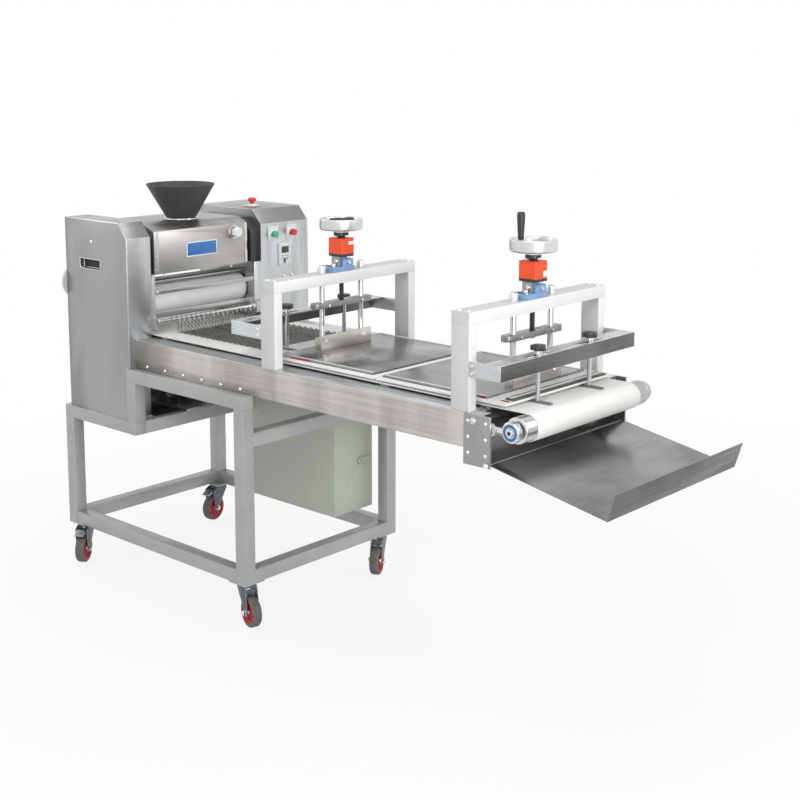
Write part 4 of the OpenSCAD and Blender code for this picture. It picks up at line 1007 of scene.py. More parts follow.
@dataclass
class Castor(Part):
    """One swivel castor, which trails away from its stem at its own yaw."""

    place: str
    x: float
    y: float
    yaw: float
    trail: float = 30.0
    axle_z: float = 45.0
    wheel_r: float = 45.0
    wheel_w: float = 30.0
    axle_r: float = 5.3
    hub: float = 16.7
    cheek: float = 20.0
    race_z: float = 122.5
    apron: Point = (-21.0, 29.0, 113.0)

    def build(self) -> None:
        """Makes the wheel, dresses the fork and adds nuts and races."""
        self.build_wheel()
        # The rounded edges take bright steel: a painted highlight along the fork's edges.
        self.shop.dress(self.place + "_fork", ("castor_steel", "bright_steel"), 1.0, edge=1)
        tool = Sculptor(self.shop)
        for side in (-1, 1):
            base = self.spot(self.trail, side * self.cheek, self.axle_z)
            way = [side * v for v in self.across()]
            tool.lathe(base, way, [(0, 9.5), (1, 9.5), (1, 8), (7, 8), (8, 7), (8, 0)], steps=6)
        for z, radius in ((self.race_z, 24.6), (self.race_z + 2.6, 23.2)):
            tool.lathe((self.x, self.y, z), Z_AXIS,
                       [(-1.2, radius - 1), (-1.2, radius), (1.2, radius), (1.2, radius - 1)],
                       steps=40, closed=True)
        tool.piece(self.place + "_axle_nuts", self.place + "_fork", ("bright_steel",), smooth=25)
        self.build_apron()

    def build_apron(self) -> None:
        """Bends the apron that closes the fork above the wheel, front and back."""
        tool = Sculptor(self.shop)
        top = self.apron[2]
        half, corner, sheet = 17.2, 12, 3
        for start, low in ((self.apron[0], top - 18), (self.apron[1] - sheet, top - 20)):
            outline = ((-half, top), (-half, low + 7), (-corner, low), (corner, low),
                       (half, low + 7), (half, top))
            base = [self.spot(start, v, z) for v, z in outline]
            ahead = Vector(self.spot(start + sheet, 0, 0)) - Vector(self.spot(start, 0, 0))
            tool.prism(base, ahead)
        tool.piece(self.place + "_fork_apron", self.place + "_fork", ("castor_steel",), 0.6)

    def spot(self, along: float, across: float, z: float) -> Point:
        """Gives the machine point of a place in the castor's own directions."""
        turn = math.radians(self.yaw)
        return (self.x + along * math.cos(turn) - across * math.sin(turn),
                self.y + along * math.sin(turn) + across * math.cos(turn), z)

    def across(self) -> Point:
        """Gives the direction of the axle."""
        turn = math.radians(self.yaw)
        return (-math.sin(turn), math.cos(turn), 0.0)

    def build_wheel(self) -> None:
        """Turns the wheel: a steel hub, a red rim with a dished web and a grooved tread."""
        r, half = self.wheel_r, self.wheel_w / 2
        side = [(self.hub, self.axle_r), (self.hub, 10.0), (self.hub - 0.8, 11.0), (10.0, 12.0),
                (8.4, 15.0), (7.4, 20.0), (8.4, 27.0), (11.0, 31.5), (half - 0.6, 33.0),
                (half, 34.6), (half, 36.4), (half - 1.0, 37.4), (half - 0.6, r - 6.0),
                (half - 1.6, r - 3.0), (half - 4.0, r - 0.8), (half - 7.0, r - 0.1), (5.0, r),
                (4.4, r - 0.9), (3.6, r - 0.9), (3.0, r)]
        paint = [1, 1, 1, 2, 0, 0, 0, 0, 0, 0, 0, 3, 3, 3, 3, 3, 3, 3, 3]
        profile = [(-h, radius) for h, radius in side] + list(reversed(side))
        tool = Sculptor(self.shop)
        tool.lathe(self.spot(self.trail, 0.0, self.axle_z), self.across(), profile,
                   [*paint, 3, *reversed(paint), 1], steps=72, closed=True)
        for k in range(10):
            self.rib(tool, k * math.pi / 5)
        wheel = tool.piece(self.place + "_rolling_wheel", self.place + "_wheel",
                           ("rim_red", "bright_steel", "rim_red", "tread_grey"))
        self.shop.stand_for(wheel, self.place + "_wheel")

    def rib(self, tool: Sculptor, angle: float) -> None:
        """Adds one web rib, on both sides of the wheel.

        Args:
            tool: The piece in work.
            angle: The rib's place round the axle.
        """
        spread = 0.06
        for side in (-1, 1):
            flat = [(radius * math.cos(angle + turn), radius * math.sin(angle + turn))
                    for radius, turn in ((11.5, -0.14), (32.5, -spread), (32.5, spread),
                                         (11.5, 0.14))]
            base = [self.spot(self.trail + u, side * 7.0, self.axle_z + v) for u, v in flat]
            tool.prism(base, [side * 3.2 * v for v in self.across()])


@dataclass
class BrakePedals(Part):
    """The pedals on the two rear castors."""

    sides: tuple[str, ...] = ("near", "far")

    def build(self) -> None:
        """Dresses both pedals."""
        for side in self.sides:
            self.shop.dress(side + "_brake_pedal", ("zinc_plating",), 0.5)


@dataclass
class Housings(Part):
    """The two side housings of the head and their covers."""

    recess: tuple[Point, Point] = ((104.0, 2.6, 979.0), (213.0, 20.0, 1014.0))
    pull: Rect = (107.0, 210.0, 982.0, 1011.0)
    face_y: float = 2.0

    def build(self) -> None:
        """Dresses the shells and the covers and frames the pull."""
        finishes = ("housing_side", "housing_front", "housing_slope", "black_void", "hood_strip")
        for node in ("near_housing", "far_housing", "housing_covers"):
            # The rounded edges take the light strip steel: a painted highlight along every edge.
            self.shop.dress(node, finishes, 2.0, self.paint, edge=4)
        x0, x1, z0, z1 = self.pull
        y = self.face_y - 0.9
        rim = 3.0
        tool = Sculptor(self.shop)
        tool.box((x0 - rim, y, z1), (x1 + rim, self.face_y + 1, z1 + rim))
        tool.box((x0 - rim, y, z0 - rim), (x1 + rim, self.face_y + 1, z0))
        for x in (x0 - rim, x1):
            tool.box((x, y, z0), (x + rim, self.face_y + 1, z1))
        tool.piece("pull_rim", "base", ("hood_strip",), 0.4)

    def paint(self, centre: Vector, normal: Vector) -> int:
        """Picks the finish of a face from where it looks, with painted light: a lighter lit copy of
        the steel on the front and a darker shaded copy on the chamfer.

        Args:
            centre: The face's centre in millimetres.
            normal: Its normal.

        Returns:
            The finish's index.
        """
        low, high = self.recess
        # The pull's recess is painted near black: painted shade.
        if all(a < c < b for a, c, b in zip(low, centre, high)):
            return 3
        # Front faces take the lighter lit copy and the chamfer the darker shaded copy: painted
        # light and shade.
        if normal.x > 0.95:
            return 1
        return 2 if normal.x > 0.3 and normal.z > 0.2 else 0


@dataclass
class Hood(Part):
    """The hinged hood with its hopper, bare plate and lock knob."""

    front: float = 346.0
    y0: float = 106.0
    y1: float = 485.0
    edge_z: float = 969.0
    top_z: float = 1102.0
    plate: Rect = (233.0, 357.0, 1012.0, 1058.0)
    plate_t: float = 1.5
    border: float = 3.2
    knob_y: float = 430.0
    knob_z: float = 1074.0
    hopper: Point = (217.0, 318.0, 1229.0)
    mouth_r: float = 108.2
    stud_z: tuple[float, ...] = (1092.0, 1064.0, 1024.0, 984.0)
    collar_z: float = 1119.2

    def build(self) -> None:
        """Builds each part of the hood."""
        self.shop.dress("hood", ("hood_steel", "hood_slope", "bright_steel", "housing_side"), 1.2,
                        self.paint)
        self.build_strips()
        self.build_plate()
        self.build_knob()
        self.build_hopper()

    def paint(self, centre: Vector, normal: Vector) -> int:
        """Picks the finish of a face of the hood, with painted shade: darker copies of the steel on
        the chamfer and the sides.

        Args:
            centre: The face's centre in millimetres.
            normal: Its normal.

        Returns:
            The finish's index.
        """
        if centre.z > self.collar_z:
            return 2
        # The chamfer and the sides take darker shaded copies of the steel: painted shade.
        if normal.x > 0.2 and normal.z > 0.2:
            return 1
        return 0 if normal.x > ALIGNED else 3

    def build_strips(self) -> None:
        """Adds the edge strips, their studs and the two stop pegs."""
        x = self.front
        low, high = self.edge_z + 3.0, self.top_z - 2.0
        near = ((0, low), (17, low), (17, high), (0, high))
        far = ((-10, low), (0, low), (0, 1012), (-5, 1015), (-5, 1036), (0, 1040), (0, high),
               (-10, high))
        tool = Sculptor(self.shop)
        for start, outline in ((self.y0, near), (self.y1, far)):
            tool.prism([(x, start + v, z) for v, z in outline], (0.9, 0, 0))
        tool.piece("hood_strips", "hood", ("hood_strip",), 0.25)
        self.shop.fixings.scatter("hood_studs", Head.STUD, "hood", "bolt_white",
                                  [((x + 0.8, self.y0 + 8, z), Way.FRONT) for z in self.stud_z])
        pegs = Sculptor(self.shop)
        for y in (self.y0 + 44, self.y1 - 65):
            pegs.lathe((x - 6, y, self.edge_z + 0.5), (0, 0, -1),
                       [(0, 4.2), (8, 4.2), (9.5, 3.4), (10, 0)], steps=20)
        pegs.piece("hood_pegs", "hood", ("white_plastic",))

    def build_plate(self) -> None:
        """Makes the bare plate: a blue field inside a white border."""
        y0, y1, z0, z1 = self.plate
        x, t, b = self.front, self.plate_t, self.border
        tool = Sculptor(self.shop)
        tool.box((x, y0 + 1, z0 + 1), (x + t - 0.4, y1 - 1, z1 - 1), 0)
        for low_z in (z0, z1 - b):
            tool.box((x, y0, low_z), (x + t, y1, low_z + b), 1)
        for low_y in (y0, y1 - b):
            tool.box((x, low_y, z0 + b), (x + t, low_y + b, z1 - b), 1)
        plate = tool.piece("bare_plate", "hood", ("plate_blue", "plate_white"), 0.25)
        self.shop.stand_for(plate, "hood_plate")

    def build_knob(self) -> None:
        """Makes the lock knob: a dark ring, a neck, a lobed grip and the catch behind."""
        x, y, z = self.front, self.knob_y, self.knob_z
        tool = Sculptor(self.shop)
        tool.lathe((x + 0.3, y, z), X_AXIS,
                   [(0, 21), (0, 22), (2.6, 22), (3.8, 20.5), (3.8, 15), (3.2, 14), (3.2, 10)],
                   1, 56)
        tool.lathe((x + 3.0, y, z), X_AXIS, [(0, 11.5), (6.5, 10.5)], 0, 32)
        tool.lathe((x + 8, y, z), X_AXIS,
                   [(0, 10), (0.8, 15), (3, 17.4), (11, 17.8), (15, 16), (17, 12), (17.5, 8),
                    (16.6, 6.5), (16.6, 0)], 0, 84, lobes=(7, 0.06))
        tool.rod((x - 8, y, z), (x + 4, y, z), 5, 2)
        tool.box((x - 8, y - 5, z - 5), (x - 2.3, y + 22, z + 5), 2)
        knob = tool.piece("lock_knob", "hood_knob",
                          ("white_plastic", "bright_steel", "zinc_plating"))
        self.shop.stand_for(knob, "hood_knob")

    def build_hopper(self) -> None:
        """Dresses the hopper and rolls a bead round its mouth."""
        self.shop.dress("hopper", ("hopper_black",), 0.7)
        tool = Sculptor(self.shop)
        ring = [(1.7 * math.sin(a), self.mouth_r + 1.7 * math.cos(a))
                for a in (2 * math.pi * k / 10 for k in range(10))]
        tool.lathe(self.hopper, Z_AXIS, ring, steps=128, closed=True)
        tool.piece("hopper_rim", "hood", ("hopper_black",))


@dataclass
class Controls(Part):
    """The buttons, keypad, dial and emergency stop of the far housing."""

    front: float = 346.0
    buttons: tuple[tuple[str, str, float], ...] = (("start_button", "start_green", 601.0),
                                                   ("stop_button", "stop_red", 684.0))
    button_z: float = 1052.0
    keypad: Rect = (623.0, 674.0, 943.0, 1018.0)
    stop: Point = (222.0, 620.0, 1135.0)
    nuts: Pair = (645.5, 682.5)
    nut_z: float = 906.0

    def build(self) -> None:
        """Builds the panel's pieces."""
        self.shop.dress("control_panel", ("panel_white", "bright_steel", "ring_amber"), 0.8,
                        self.paint)
        self.build_keypad()
        for node, finish, _ in self.buttons:
            self.shop.dress(node, (finish,), 1.4)
        self.shop.dress("speed_knob", ("black_plastic", "panel_white"), 0.4,
                        lambda centre, normal: int(centre.x > self.front + 15.5 and normal.x > 0.5))
        self.build_stop()
        self.shop.fixings.scatter("panel_nuts", Head.ACORN_NUT, "base", "bright_steel",
                                  [((self.front, y, self.nut_z), Way.FRONT) for y in self.nuts])

    def paint(self, centre: Vector, normal: Vector) -> int:
        """Picks white for the plates, chrome for the bezels and amber for the stop's disc.

        Args:
            centre: The face's centre in millimetres.
            normal: Its normal.

        Returns:
            The finish's index.
        """
        if centre.z > self.stop[2] - 1:
            return 0 if centre.z > self.stop[2] + 3.2 or self.stop_reach(centre) < 14 else 2
        bezel = any(math.hypot(centre.y - y, centre.z - self.button_z) < 14.5
                    for _, _, y in self.buttons)
        return 1 if bezel and centre.x > self.front + 2.1 else 0

    def stop_reach(self, centre: Vector) -> float:
        """Gives a point's distance from the stop's axis."""
        return math.hypot(centre.x - self.stop[0], centre.y - self.stop[1])

    def build_keypad(self) -> None:
        """Adds the display, the lamps and the blank keys of the keypad."""
        y0, y1, _, z1 = self.keypad
        x = self.front + 7
        tool = Sculptor(self.shop)
        tool.box((x - 0.5, y0 + 9, z1 - 33), (x + 0.7, y1 - 9, z1 - 11), 0)
        tool.box((x - 0.5, y0 + 3, z1 - 72), (x + 0.35, y1 - 3, z1 - 3), 3)
        for k in range(3):
            y = y0 + 14 + 11.5 * k
            tool.box((x, y - 3.6, z1 - 44), (x + 1.0, y + 3.6, z1 - 40), 1 if k == 2 else 4)
            tool.box((x, y - 3.6, z1 - 53), (x + 1.0, y + 3.6, z1 - 49), 2 if k == 2 else 4)
        tool.piece("keypad_face", "base", ("display_dark", "lamp_cyan", "stop_red", "panel_white",
                                           "zinc_plating"), 0.25)

    def build_stop(self) -> None:
        """Turns the emergency stop's mushroom with a pressed ring in its crown."""
        x, y, z = self.stop
        tool = Sculptor(self.shop)
        tool.lathe((x, y, z + 9), Z_AXIS,
                   [(-14, 7.5), (7, 7.5), (7, 11), (10.5, 14.4), (14.5, 15), (17.5, 14),
                    (19.6, 11.4), (20.6, 8.2), (20.2, 7.6), (20.6, 7.0), (21, 4), (21, 0)],
                   steps=56)
        stop = tool.piece("stop_mushroom", "emergency_stop", ("stop_red",), smooth=50)
        self.shop.stand_for(stop, "emergency_stop")


@dataclass
class SheetingHead(Part):
    """The side plates, crossbars and sheeting rollers under the hood."""

    split_z: float = 968.0
    drum: Pair = (105.0, 508.0)
    ring: float = 4.0
    roller_x: Pair = (165.0, 269.0)
    roller_z: float = 880.0
    guard: tuple[Point, ...] = ((349.0, 114.0, 914.0), (349.0, 499.0, 914.0))

    def build(self) -> None:
        """Dresses the head's pieces and bolts the guard bar on."""
        # Above the split the plates are black, painted shade; front faces take a lighter copy of
        # the steel, painted light.
        self.shop.dress("head_side_plates", ("head_steel", "black_plastic", "housing_front"), 1.0,
                        self.paint_plate, [((0, 0, self.split_z), Z_AXIS)])
        self.shop.dress("head_crossbars", ("stainless_across",), 0.8)
        for node in ("front_sheeting_roller", "rear_sheeting_roller"):
            cuts = [((0, y, 0), Y_AXIS)
                    for y in (self.drum[0] + self.ring, self.drum[1] - self.ring)]
            self.shop.dress(node, ("roller_white", "turned_aluminium", "zinc_plating"), 0.8,
                            self.paint_roller, cuts)
        self.shop.fixings.scatter("guard_screws", Head.CAP_SCREW, "base", "bright_steel",
                                  [(spot, Way.FRONT) for spot in self.guard], 5)

    def paint_plate(self, centre: Vector, normal: Vector) -> int:
        """Picks black above the split, painted shade in the gaps between hood and housings, and a
        painted lit copy of the housing steel for the plates' front edges.
        """
        return 1 if centre.z > self.split_z else 2 * int(normal.x > ALIGNED)

    def paint_roller(self, centre: Vector, normal: Vector) -> int:
        """Picks white for the drum, metal for its end rings and zinc for shaft and gear.

        Args:
            centre: The face's centre in millimetres.
            normal: Its normal.

        Returns:
            The finish's index.
        """
        reach = min(math.hypot(centre.x - x, centre.z - self.roller_z) for x in self.roller_x)
        inside = self.drum[0] - 1 < centre.y < self.drum[1] + 1
        if inside and abs(normal.y) > ALIGNED:
            return 1
        if not inside or reach < 30:
            return 2
        return int(not self.drum[0] + self.ring < centre.y < self.drum[1] - self.ring)


@dataclass
class CurlingMesh(Part):
    """The woven wire mesh that hangs from the bar and lies on the belt."""

    x0: float = 386.0
    y0: float = 160.0
    width: float = 326.0
    lie_z: float = 786.6
    rows: int = 30
    pitch: float = 13.0
    turns: float = 23.5
    half_reach: float = 8.2
    half_height: float = 1.3
    wire: float = 1.05
    drop_rows: int = 3
    bar: Point = (351.0, 822.0, 6.0)
    slope: float = 54.94
    hooks: int = 17

    def build(self) -> None:
        """Weaves both stretches and hooks them to the bar."""
        tree = WeaveTree()
        flat = self.weave(tree, self.rows)
        flat.transform(Matrix.Translation(self.shop.axes.at(self.x0 + 4, self.y0, self.lie_z)))
        fall = self.weave(tree, self.drop_rows)
        bar_x, bar_z, bar_r = self.bar
        lean = math.radians(self.slope)
        along = Vector((math.cos(lean), 0.0, -math.sin(lean)))
        up = Vector((math.sin(lean), 0.0, math.cos(lean)))
        start = Vector((bar_x, self.y0, bar_z)) + up * (bar_r + 1.4) + along * 14.0
        turned = Matrix.Translation(self.shop.axes.at(*start)) @ Matrix.Rotation(lean, 4, "Y")
        fall.transform(turned)
        bm = bmesh.new()
        bm.from_mesh(flat)
        bm.from_mesh(fall)
        mesh = bpy.data.meshes.new("curling_mesh")
        bm.to_mesh(mesh)
        bm.free()
        net = self.shop.add_object("curling_mesh", mesh, "base", ("wire_steel",), 60.0)
        self.shop.stand_for(net, "chain_mesh")
        self.build_hooks(along, up)

    def weave(self, tree: WeaveTree, rows: int) -> bpy.types.Mesh:
        """Runs the tree for a number of rows that start at the origin."""
        return tree.run(self.shop, [Vector()], [Vector(Z_AXIS)], {
            "Rows": rows, "Row Pitch": self.pitch * MM, "Turns": self.turns,
            "Width": self.width * MM, "Half Reach": self.half_reach * MM,
            "Half Height": self.half_height * MM, "Wire": self.wire * MM,
            "Finish": self.shop.palette["wire_steel"]})

    def build_hooks(self, along: Vector, up: Vector) -> None:
        """Bends a hook round the bar for every few wires.

        Args:
            along: The way down the mesh.
            up: The way out of it.
        """
        bar_x, bar_z, bar_r = self.bar
        reach = bar_r + 1.5
        tool = Sculptor(self.shop)
        for k in range(self.hooks):
            y = self.y0 + 6 + k * (self.width - 12) / (self.hooks - 1)
            centre = Vector((bar_x, y, bar_z))
            path = []
            for step in range(9):
                angle = math.radians(230 - step * 230 / 8)
                path.append(centre - along * (reach * math.sin(angle))
                            + up * (reach * math.cos(angle)))
            path += [centre + up * reach + along * 9, centre + up * (reach - 0.4) + along * 17]
            tool.tube(path, 1.2, sides=6)
        tool.piece("mesh_hooks", "base", ("bright_steel",), smooth=60)


@dataclass
class Conveyor(Part):
    """The beams, end plates, bed, belt, rollers and bearings of the belt."""

    y0: float = 28.0
    width: float = 640.0
    plate_t: float = 6.0
    roll: Pair = (1786.0, 749.0)
    bearing_w: float = 18.0
    arm_x: float = 1700.0
    bolt_x: tuple[float, float, int] = (399.0, 85.0, 6)
    bolt_z: float = 700.0
    flange_z: float = 770.0
    cover_stud: Point = (168.0, 2.0, 1067.0)
    plate_bolts: tuple[tuple[float, ...], tuple[float, ...]] = ((1663.0, 1717.0),
                                                                (680.0, 720.0, 760.0))
    tension: Pair = (1680.0, 762.0)
    ledge: tuple[float, float, float, float, float] = (346.0, 1655.0, 66.0, 95.0, 776.6)

    def build(self) -> None:
        """Builds the conveyor's pieces."""
        # Top faces of the flanges take the lighter copy of the steel: painted light.
        self.shop.dress("side_beams", ("beam_side", "beam_top"), 1.2,
                        lambda centre, normal: int(normal.z > ALIGNED and centre.z > self.flange_z))
        # Edges and ends take the lighter copy, the plates' sides the darker one: painted light and
        # shade.
        self.shop.dress("end_plates", ("beam_top", "housing_side"), 1.0,
                        lambda centre, normal: int(abs(normal.y) > ALIGNED))
        self.shop.dress("slider_bed", ("stainless_across",), 0.6)
        self.build_ledges()
        self.shop.dress("belt", ("belt_white",), 0.5)
        for node in ("drive_roller", "end_roller"):
            self.shop.dress(node, ("turned_aluminium", "bright_steel"), 1.6,
                            lambda centre, normal: int(abs(normal.y) > ALIGNED))
        self.build_bearings()
        self.build_bolts()

    def build_ledges(self) -> None:
        """Lays the ledges that close the gaps between the beams' flanges and the belt."""
        x0, x1, y0, y1, z = self.ledge
        tool = Sculptor(self.shop)
        for side in Side:
            outer, inner = sorted((self.mirrored(side, y0), self.mirrored(side, y1)))
            tool.box((x0, outer, z - 1.5), (x1, inner, z))
        tool.piece("belt_ledges", "base", ("beam_top",), 0.4)

    def mirrored(self, side: Side, y: float) -> float:
        """Gives a distance in from the outer face of a side as a machine y."""
        return y if side is Side.NEAR else self.width - y

    def build_bearings(self) -> None:
        """Makes each side's bearing on its arm, with a blue seal and its set bolts."""
        x, z = self.roll
        tool = Sculptor(self.shop)
        for side in Side:
            inward = -side.value
            face = self.mirrored(side, self.y0)
            way = (0, inward, 0)
            tool.lathe((x, face, z), way,
                       [(0, 10.6), (0, 13.5), (1.2, 13.6), (1.2, 20.4), (0, 20.6), (0, 23.6),
                        (1.8, 26), (self.bearing_w - 1.5, 26), (self.bearing_w, 24.5),
                        (self.bearing_w, 10.6)],
                       [2, 0, 1, 0, 2, 2, 0, 0, 0, 0], steps=56, closed=True)
            reach = sorted((face, face + inward * 16))
            tool.box((self.arm_x, reach[0] + 3, z - 6), (x - 18, reach[1] - 3, z + 6), 2)
            tool.lathe((self.arm_x + 4, face + inward * 8, z), X_AXIS,
                       [(0, 9.5), (9, 9.5), (9.8, 8.8), (9.8, 7.8), (15, 7.8), (15, 9.5),
                        (24, 9.5), (24.8, 8.8), (24.8, 0)], 2, 6)
            arm = ((-18, -14), (34, -14), (44, -6), (44, 6), (34, 14), (-18, 14))
            tool.prism([(self.arm_x + u, face + inward, z + v) for u, v in arm],
                       (0, inward * 3, 0))
            # A dark hexagon on the hub: painted shade of its socket.
            tool.lathe((x, self.mirrored(side, self.y0 - 4), z), (0, side.value, 0),
                       [(-0.3, 5.6), (0.25, 5.6)], 3, 6)
            self.build_tension(tool, side)
        bearings = tool.piece("bearing_blocks", "base",
                              ("turned_aluminium", "seal_blue", "bright_steel", "black_void"), 0.3)
        self.shop.stand_for(bearings, "end_bearings")

    def build_tension(self, tool: Sculptor, side: Side) -> None:
        """Adds the belt's tension bolt: a washer, a nut and a threaded end.

        Args:
            tool: The piece in work.
            side: The bolt's side.
        """
        x, z = self.tension
        face = self.mirrored(side, self.y0 - self.plate_t)
        out = (0, side.value, 0)
        tool.lathe((x, face, z), out, [(-0.5, 9), (1.4, 9), (1.4, 3)], 2, 28)
        tool.lathe((x, face + 1.4 * side.value, z), out,
                   [(0, 7.4), (4.6, 7.4), (5.2, 6.4), (5.2, 0)], 2, 6)
        thread = [(5.2 + 0.45 * k, 3.4 if k % 2 else 2.8) for k in range(6)]
        tool.lathe((x, face, z), out, [*thread, (7.9, 0)], 0, 16)

    def build_bolts(self) -> None:
        """Bolts the beams to the frame and the end plates to the beams."""
        start, pitch, count = self.bolt_x
        spots = []
        for side, way in ((Side.NEAR, Way.NEAR), (Side.FAR, Way.FAR)):
            spots += [((start + pitch * i, self.mirrored(side, self.y0), self.bolt_z), way)
                      for i in range(count)]
            face = self.mirrored(side, self.y0 - self.plate_t)
            spots += [((x, face, z), way) for x in self.plate_bolts[0] for z in self.plate_bolts[1]]
        spots.append((self.cover_stud, Way.NEAR))
        bolts = self.shop.fixings.scatter("beam_bolts", Head.DOME_BOLT, "base", "bolt_white", spots)
        self.shop.stand_for(bolts, "fasteners")


@dataclass
class Gantry(Part):
    """What stands on one gantry's beam: casting bolts, bracket, bush domes and label."""

    name: str
    x: float
    label: Rect
    top: float = 1022.0
    mid_y: float = 320.0
    bush_y: Pair = (240.0, 400.0)
    bush_top: float = 1040.0
    screw_y: Pair = (44.0, 596.0)
    bracket_z: float = 1064.0

    def build(self) -> None:
        """Adds the pieces of this gantry."""
        tool = Sculptor(self.shop)
        for y in self.bush_y:
            tool.lathe((self.x, y, self.bush_top), Z_AXIS,
                       [(-16, 12.1), (-1, 12.1), (1.4, 11.4), (2.6, 10.0), (3, 8.4), (-0.4, 8.4),
                        (-0.4, 11)], 0, 40, closed=True)
            tool.lathe((self.x, y, self.top), Z_AXIS,
                       [(0, 12), (0, 14.6), (1.8, 14.6), (1.8, 12)], 1, 40, closed=True)
        tool.piece(self.name + "_bush_domes", "base", ("bolt_white", "bright_steel"))
        self.build_bracket()
        self.build_label()
        screws = [((self.x + s * 14, y, self.top), Way.UP) for s in (-1, 1) for y in self.screw_y]
        self.shop.fixings.scatter(self.name + "_beam_screws", Head.DOME_BOLT, "base",
                                  "bolt_white", screws, 7)
        bolts = [((self.x + s * 15, self.mid_y - 48, self.top + 14), Way.UP) for s in (-1, 1)]
        bolts.append(((self.x + 22, self.mid_y + 8, self.top + 24), Way.FRONT))
        self.shop.fixings.scatter(self.name + "_casting_bolts", Head.HEX_BOLT, "base",
                                  "bright_steel", bolts, 11)

    def build_bracket(self) -> None:
        """Bends the steel bracket that steadies the indicator beside the casting."""
        x, z0, z1 = self.x, self.top + 14, self.bracket_z
        y = self.mid_y - 32
        tool = Sculptor(self.shop)
        angle = ((11, z0), (-9, z0), (-9, z0 + 3), (8, z0 + 3), (8, z1), (11, z1))
        tool.prism([(x - 16, y + v, z) for v, z in angle], (32, 0, 0))
        tool.nut((x + 5, y + 8, z0 + 15), (0, -1, 0), 8, 6.4, 6)
        tool.nut((x + 4, y - 2, z0 + 3), Z_AXIS, 7.6, 6, 5.6)
        tool.piece(self.name + "_bracket", "base", ("dull_steel", "bright_steel"), 0.4)

    def build_label(self) -> None:
        """Puts the bare label on the indicator's front."""
        y0, y1, z0, z1 = self.label
        x = self.x + 28
        tool = Sculptor(self.shop)
        tool.box((x - 0.3, y0, z0), (x + 0.45, y1, z1))
        tool.piece(self.name + "_bare_label", "base", ("plate_white",), 0.2)


@dataclass
class Gantries(Part):
    """Both gantries' painted tubes, blue castings and orange indicators."""

    names: tuple[tuple[str, float, Rect], ...] = (
        ("rear", 942.0, (322.0, 344.0, 1098.0, 1108.0)),
        ("front", 1630.0, (326.0, 343.0, 1076.0, 1091.0)))
    base_z: float = 1072.0
    cap_z: float = 1117.2

    def build(self) -> None:
        """Dresses the shared nodes and builds each gantry's own pieces."""
        for node in ("gantry_posts", "gantry_beams"):
            # Front faces take the lighter copy of the paint: painted light.
            self.shop.dress(node, ("gantry_grey", "gantry_white"), 1.8,
                            lambda centre, normal: int(normal.x > ALIGNED))
        self.shop.dress("screw_castings", ("cast_blue",), 2.0)
        self.shop.dress("indicators", ("indicator_orange", "black_plastic"), 1.2,
                        lambda centre, normal: int(not self.base_z < centre.z < self.cap_z),
                        [((0, 0, self.base_z), Z_AXIS)])
        for name, x, label in self.names:
            Gantry(name, x, label).build_in(self.shop)


@dataclass
class Board(Part):
    """A pressure board on its lift frame."""

    name: str
    x: float
    face: Pair
    nose: float | None
    tips: tuple[tuple[Pair, Pair], ...]
    face_y: Pair = (110.0, 530.0)
    base_z: float = 796.0
    top_z: float = 801.0
    rod_y: Pair = (240.0, 400.0)
    rod_r: float = 8.6
    crosshead: Pair = (921.0, 936.0)
    shoe_z: Pair = (801.0, 843.0)

    def build(self) -> None:
        """Dresses the board and its lift frame and adds trim and bolts."""
        self.shop.dress(self.name + "_board", ("board_white", "board_steel", "nose_steel"), 0.7,
                        self.paint_board)
        self.shop.dress(self.name + "_lift_frame", ("dull_steel", "chrome_rod", "shoe_steel"), 0.9,
                        self.paint_lift)
        self.build_trim()
        body = self.name + "_lift"
        shoe = [((self.x + 20, y, self.shoe_z[0] + 24), Way.FRONT) for y in (238, 394)]
        self.shop.fixings.scatter(self.name + "_shoe_bolts", Head.HEX_BOLT, body, "bolt_white",
                                  shoe, 13)
        head = [((self.x + 17, y, self.crosshead[0] + 7.5), Way.FRONT) for y in (252, 388)]
        self.shop.fixings.scatter(self.name + "_crosshead_screws", Head.CAP_SCREW, body,
                                  "bright_steel", head, 17)

    def paint_board(self, centre: Vector, normal: Vector) -> int:
        """Picks steel for the raised face and dark steel for the nose.

        Args:
            centre: The face's centre in millimetres.
            normal: Its normal.

        Returns:
            The finish's index.
        """
        if centre.z > self.base_z - 0.1 and (centre.z > self.base_z + 0.1 or abs(normal.z) < 0.5):
            return 2 if self.nose and centre.x > self.face[1] + 5 else 1
        return 0

    def paint_lift(self, centre: Vector, normal: Vector) -> int:
        """Picks chrome for the rods, light steel for the shoe and dull steel for the rest.

        Args:
            centre: The face's centre in millimetres.
            normal: Its normal.

        Returns:
            The finish's index.
        """
        on_rod = min(math.hypot(centre.x - self.x, centre.y - y) for y in self.rod_y) < self.rod_r
        if on_rod and abs(normal.z) < 0.5:
            return 1
        return 2 if centre.z < self.shoe_z[1] + 1 else 0

    def build_trim(self) -> None:
        """Runs the thin black seam round the steel face and the board's white strips."""
        x0, x1 = self.face
        y0, y1 = self.face_y
        z, seam = self.base_z, 1.6
        tool = Sculptor(self.shop)
        for low, high in (((x0 - seam, y0 - seam), (x1 + seam, y0)),
                          ((x0 - seam, y1), (x1 + seam, y1 + seam)),
                          ((x0 - seam, y0), (x0, y1)), ((x1, y0), (x1 + seam, y1))):
            tool.box((*low, z - 0.2), (*high, z + 0.7), 1)
        for y in (y0 + 4, y1 - 9):
            tool.box((x0 + 6, y, self.top_z - 0.2), (x1 - 6, y + 5, self.top_z + 0.9), 0)
        if self.nose:
            nose = self.nose
            tool.box((nose - 9, y0 + 8, z - 0.2), (nose - 1, y1 - 1, z + 3.2), 0)
            tool.box((nose + 10, y0 + 24, self.top_z - 0.2),
                     (nose + 17, y1 - 2, self.top_z + 1.4), 0)
        for low, high in self.tips:
            tool.box((*low, z - 0.3), (*high, z + 2.2), 2)
        tool.piece(self.name + "_board_trim", self.name + "_lift",
                   ("board_white", "black_plastic", "edge_red"), 0.2)


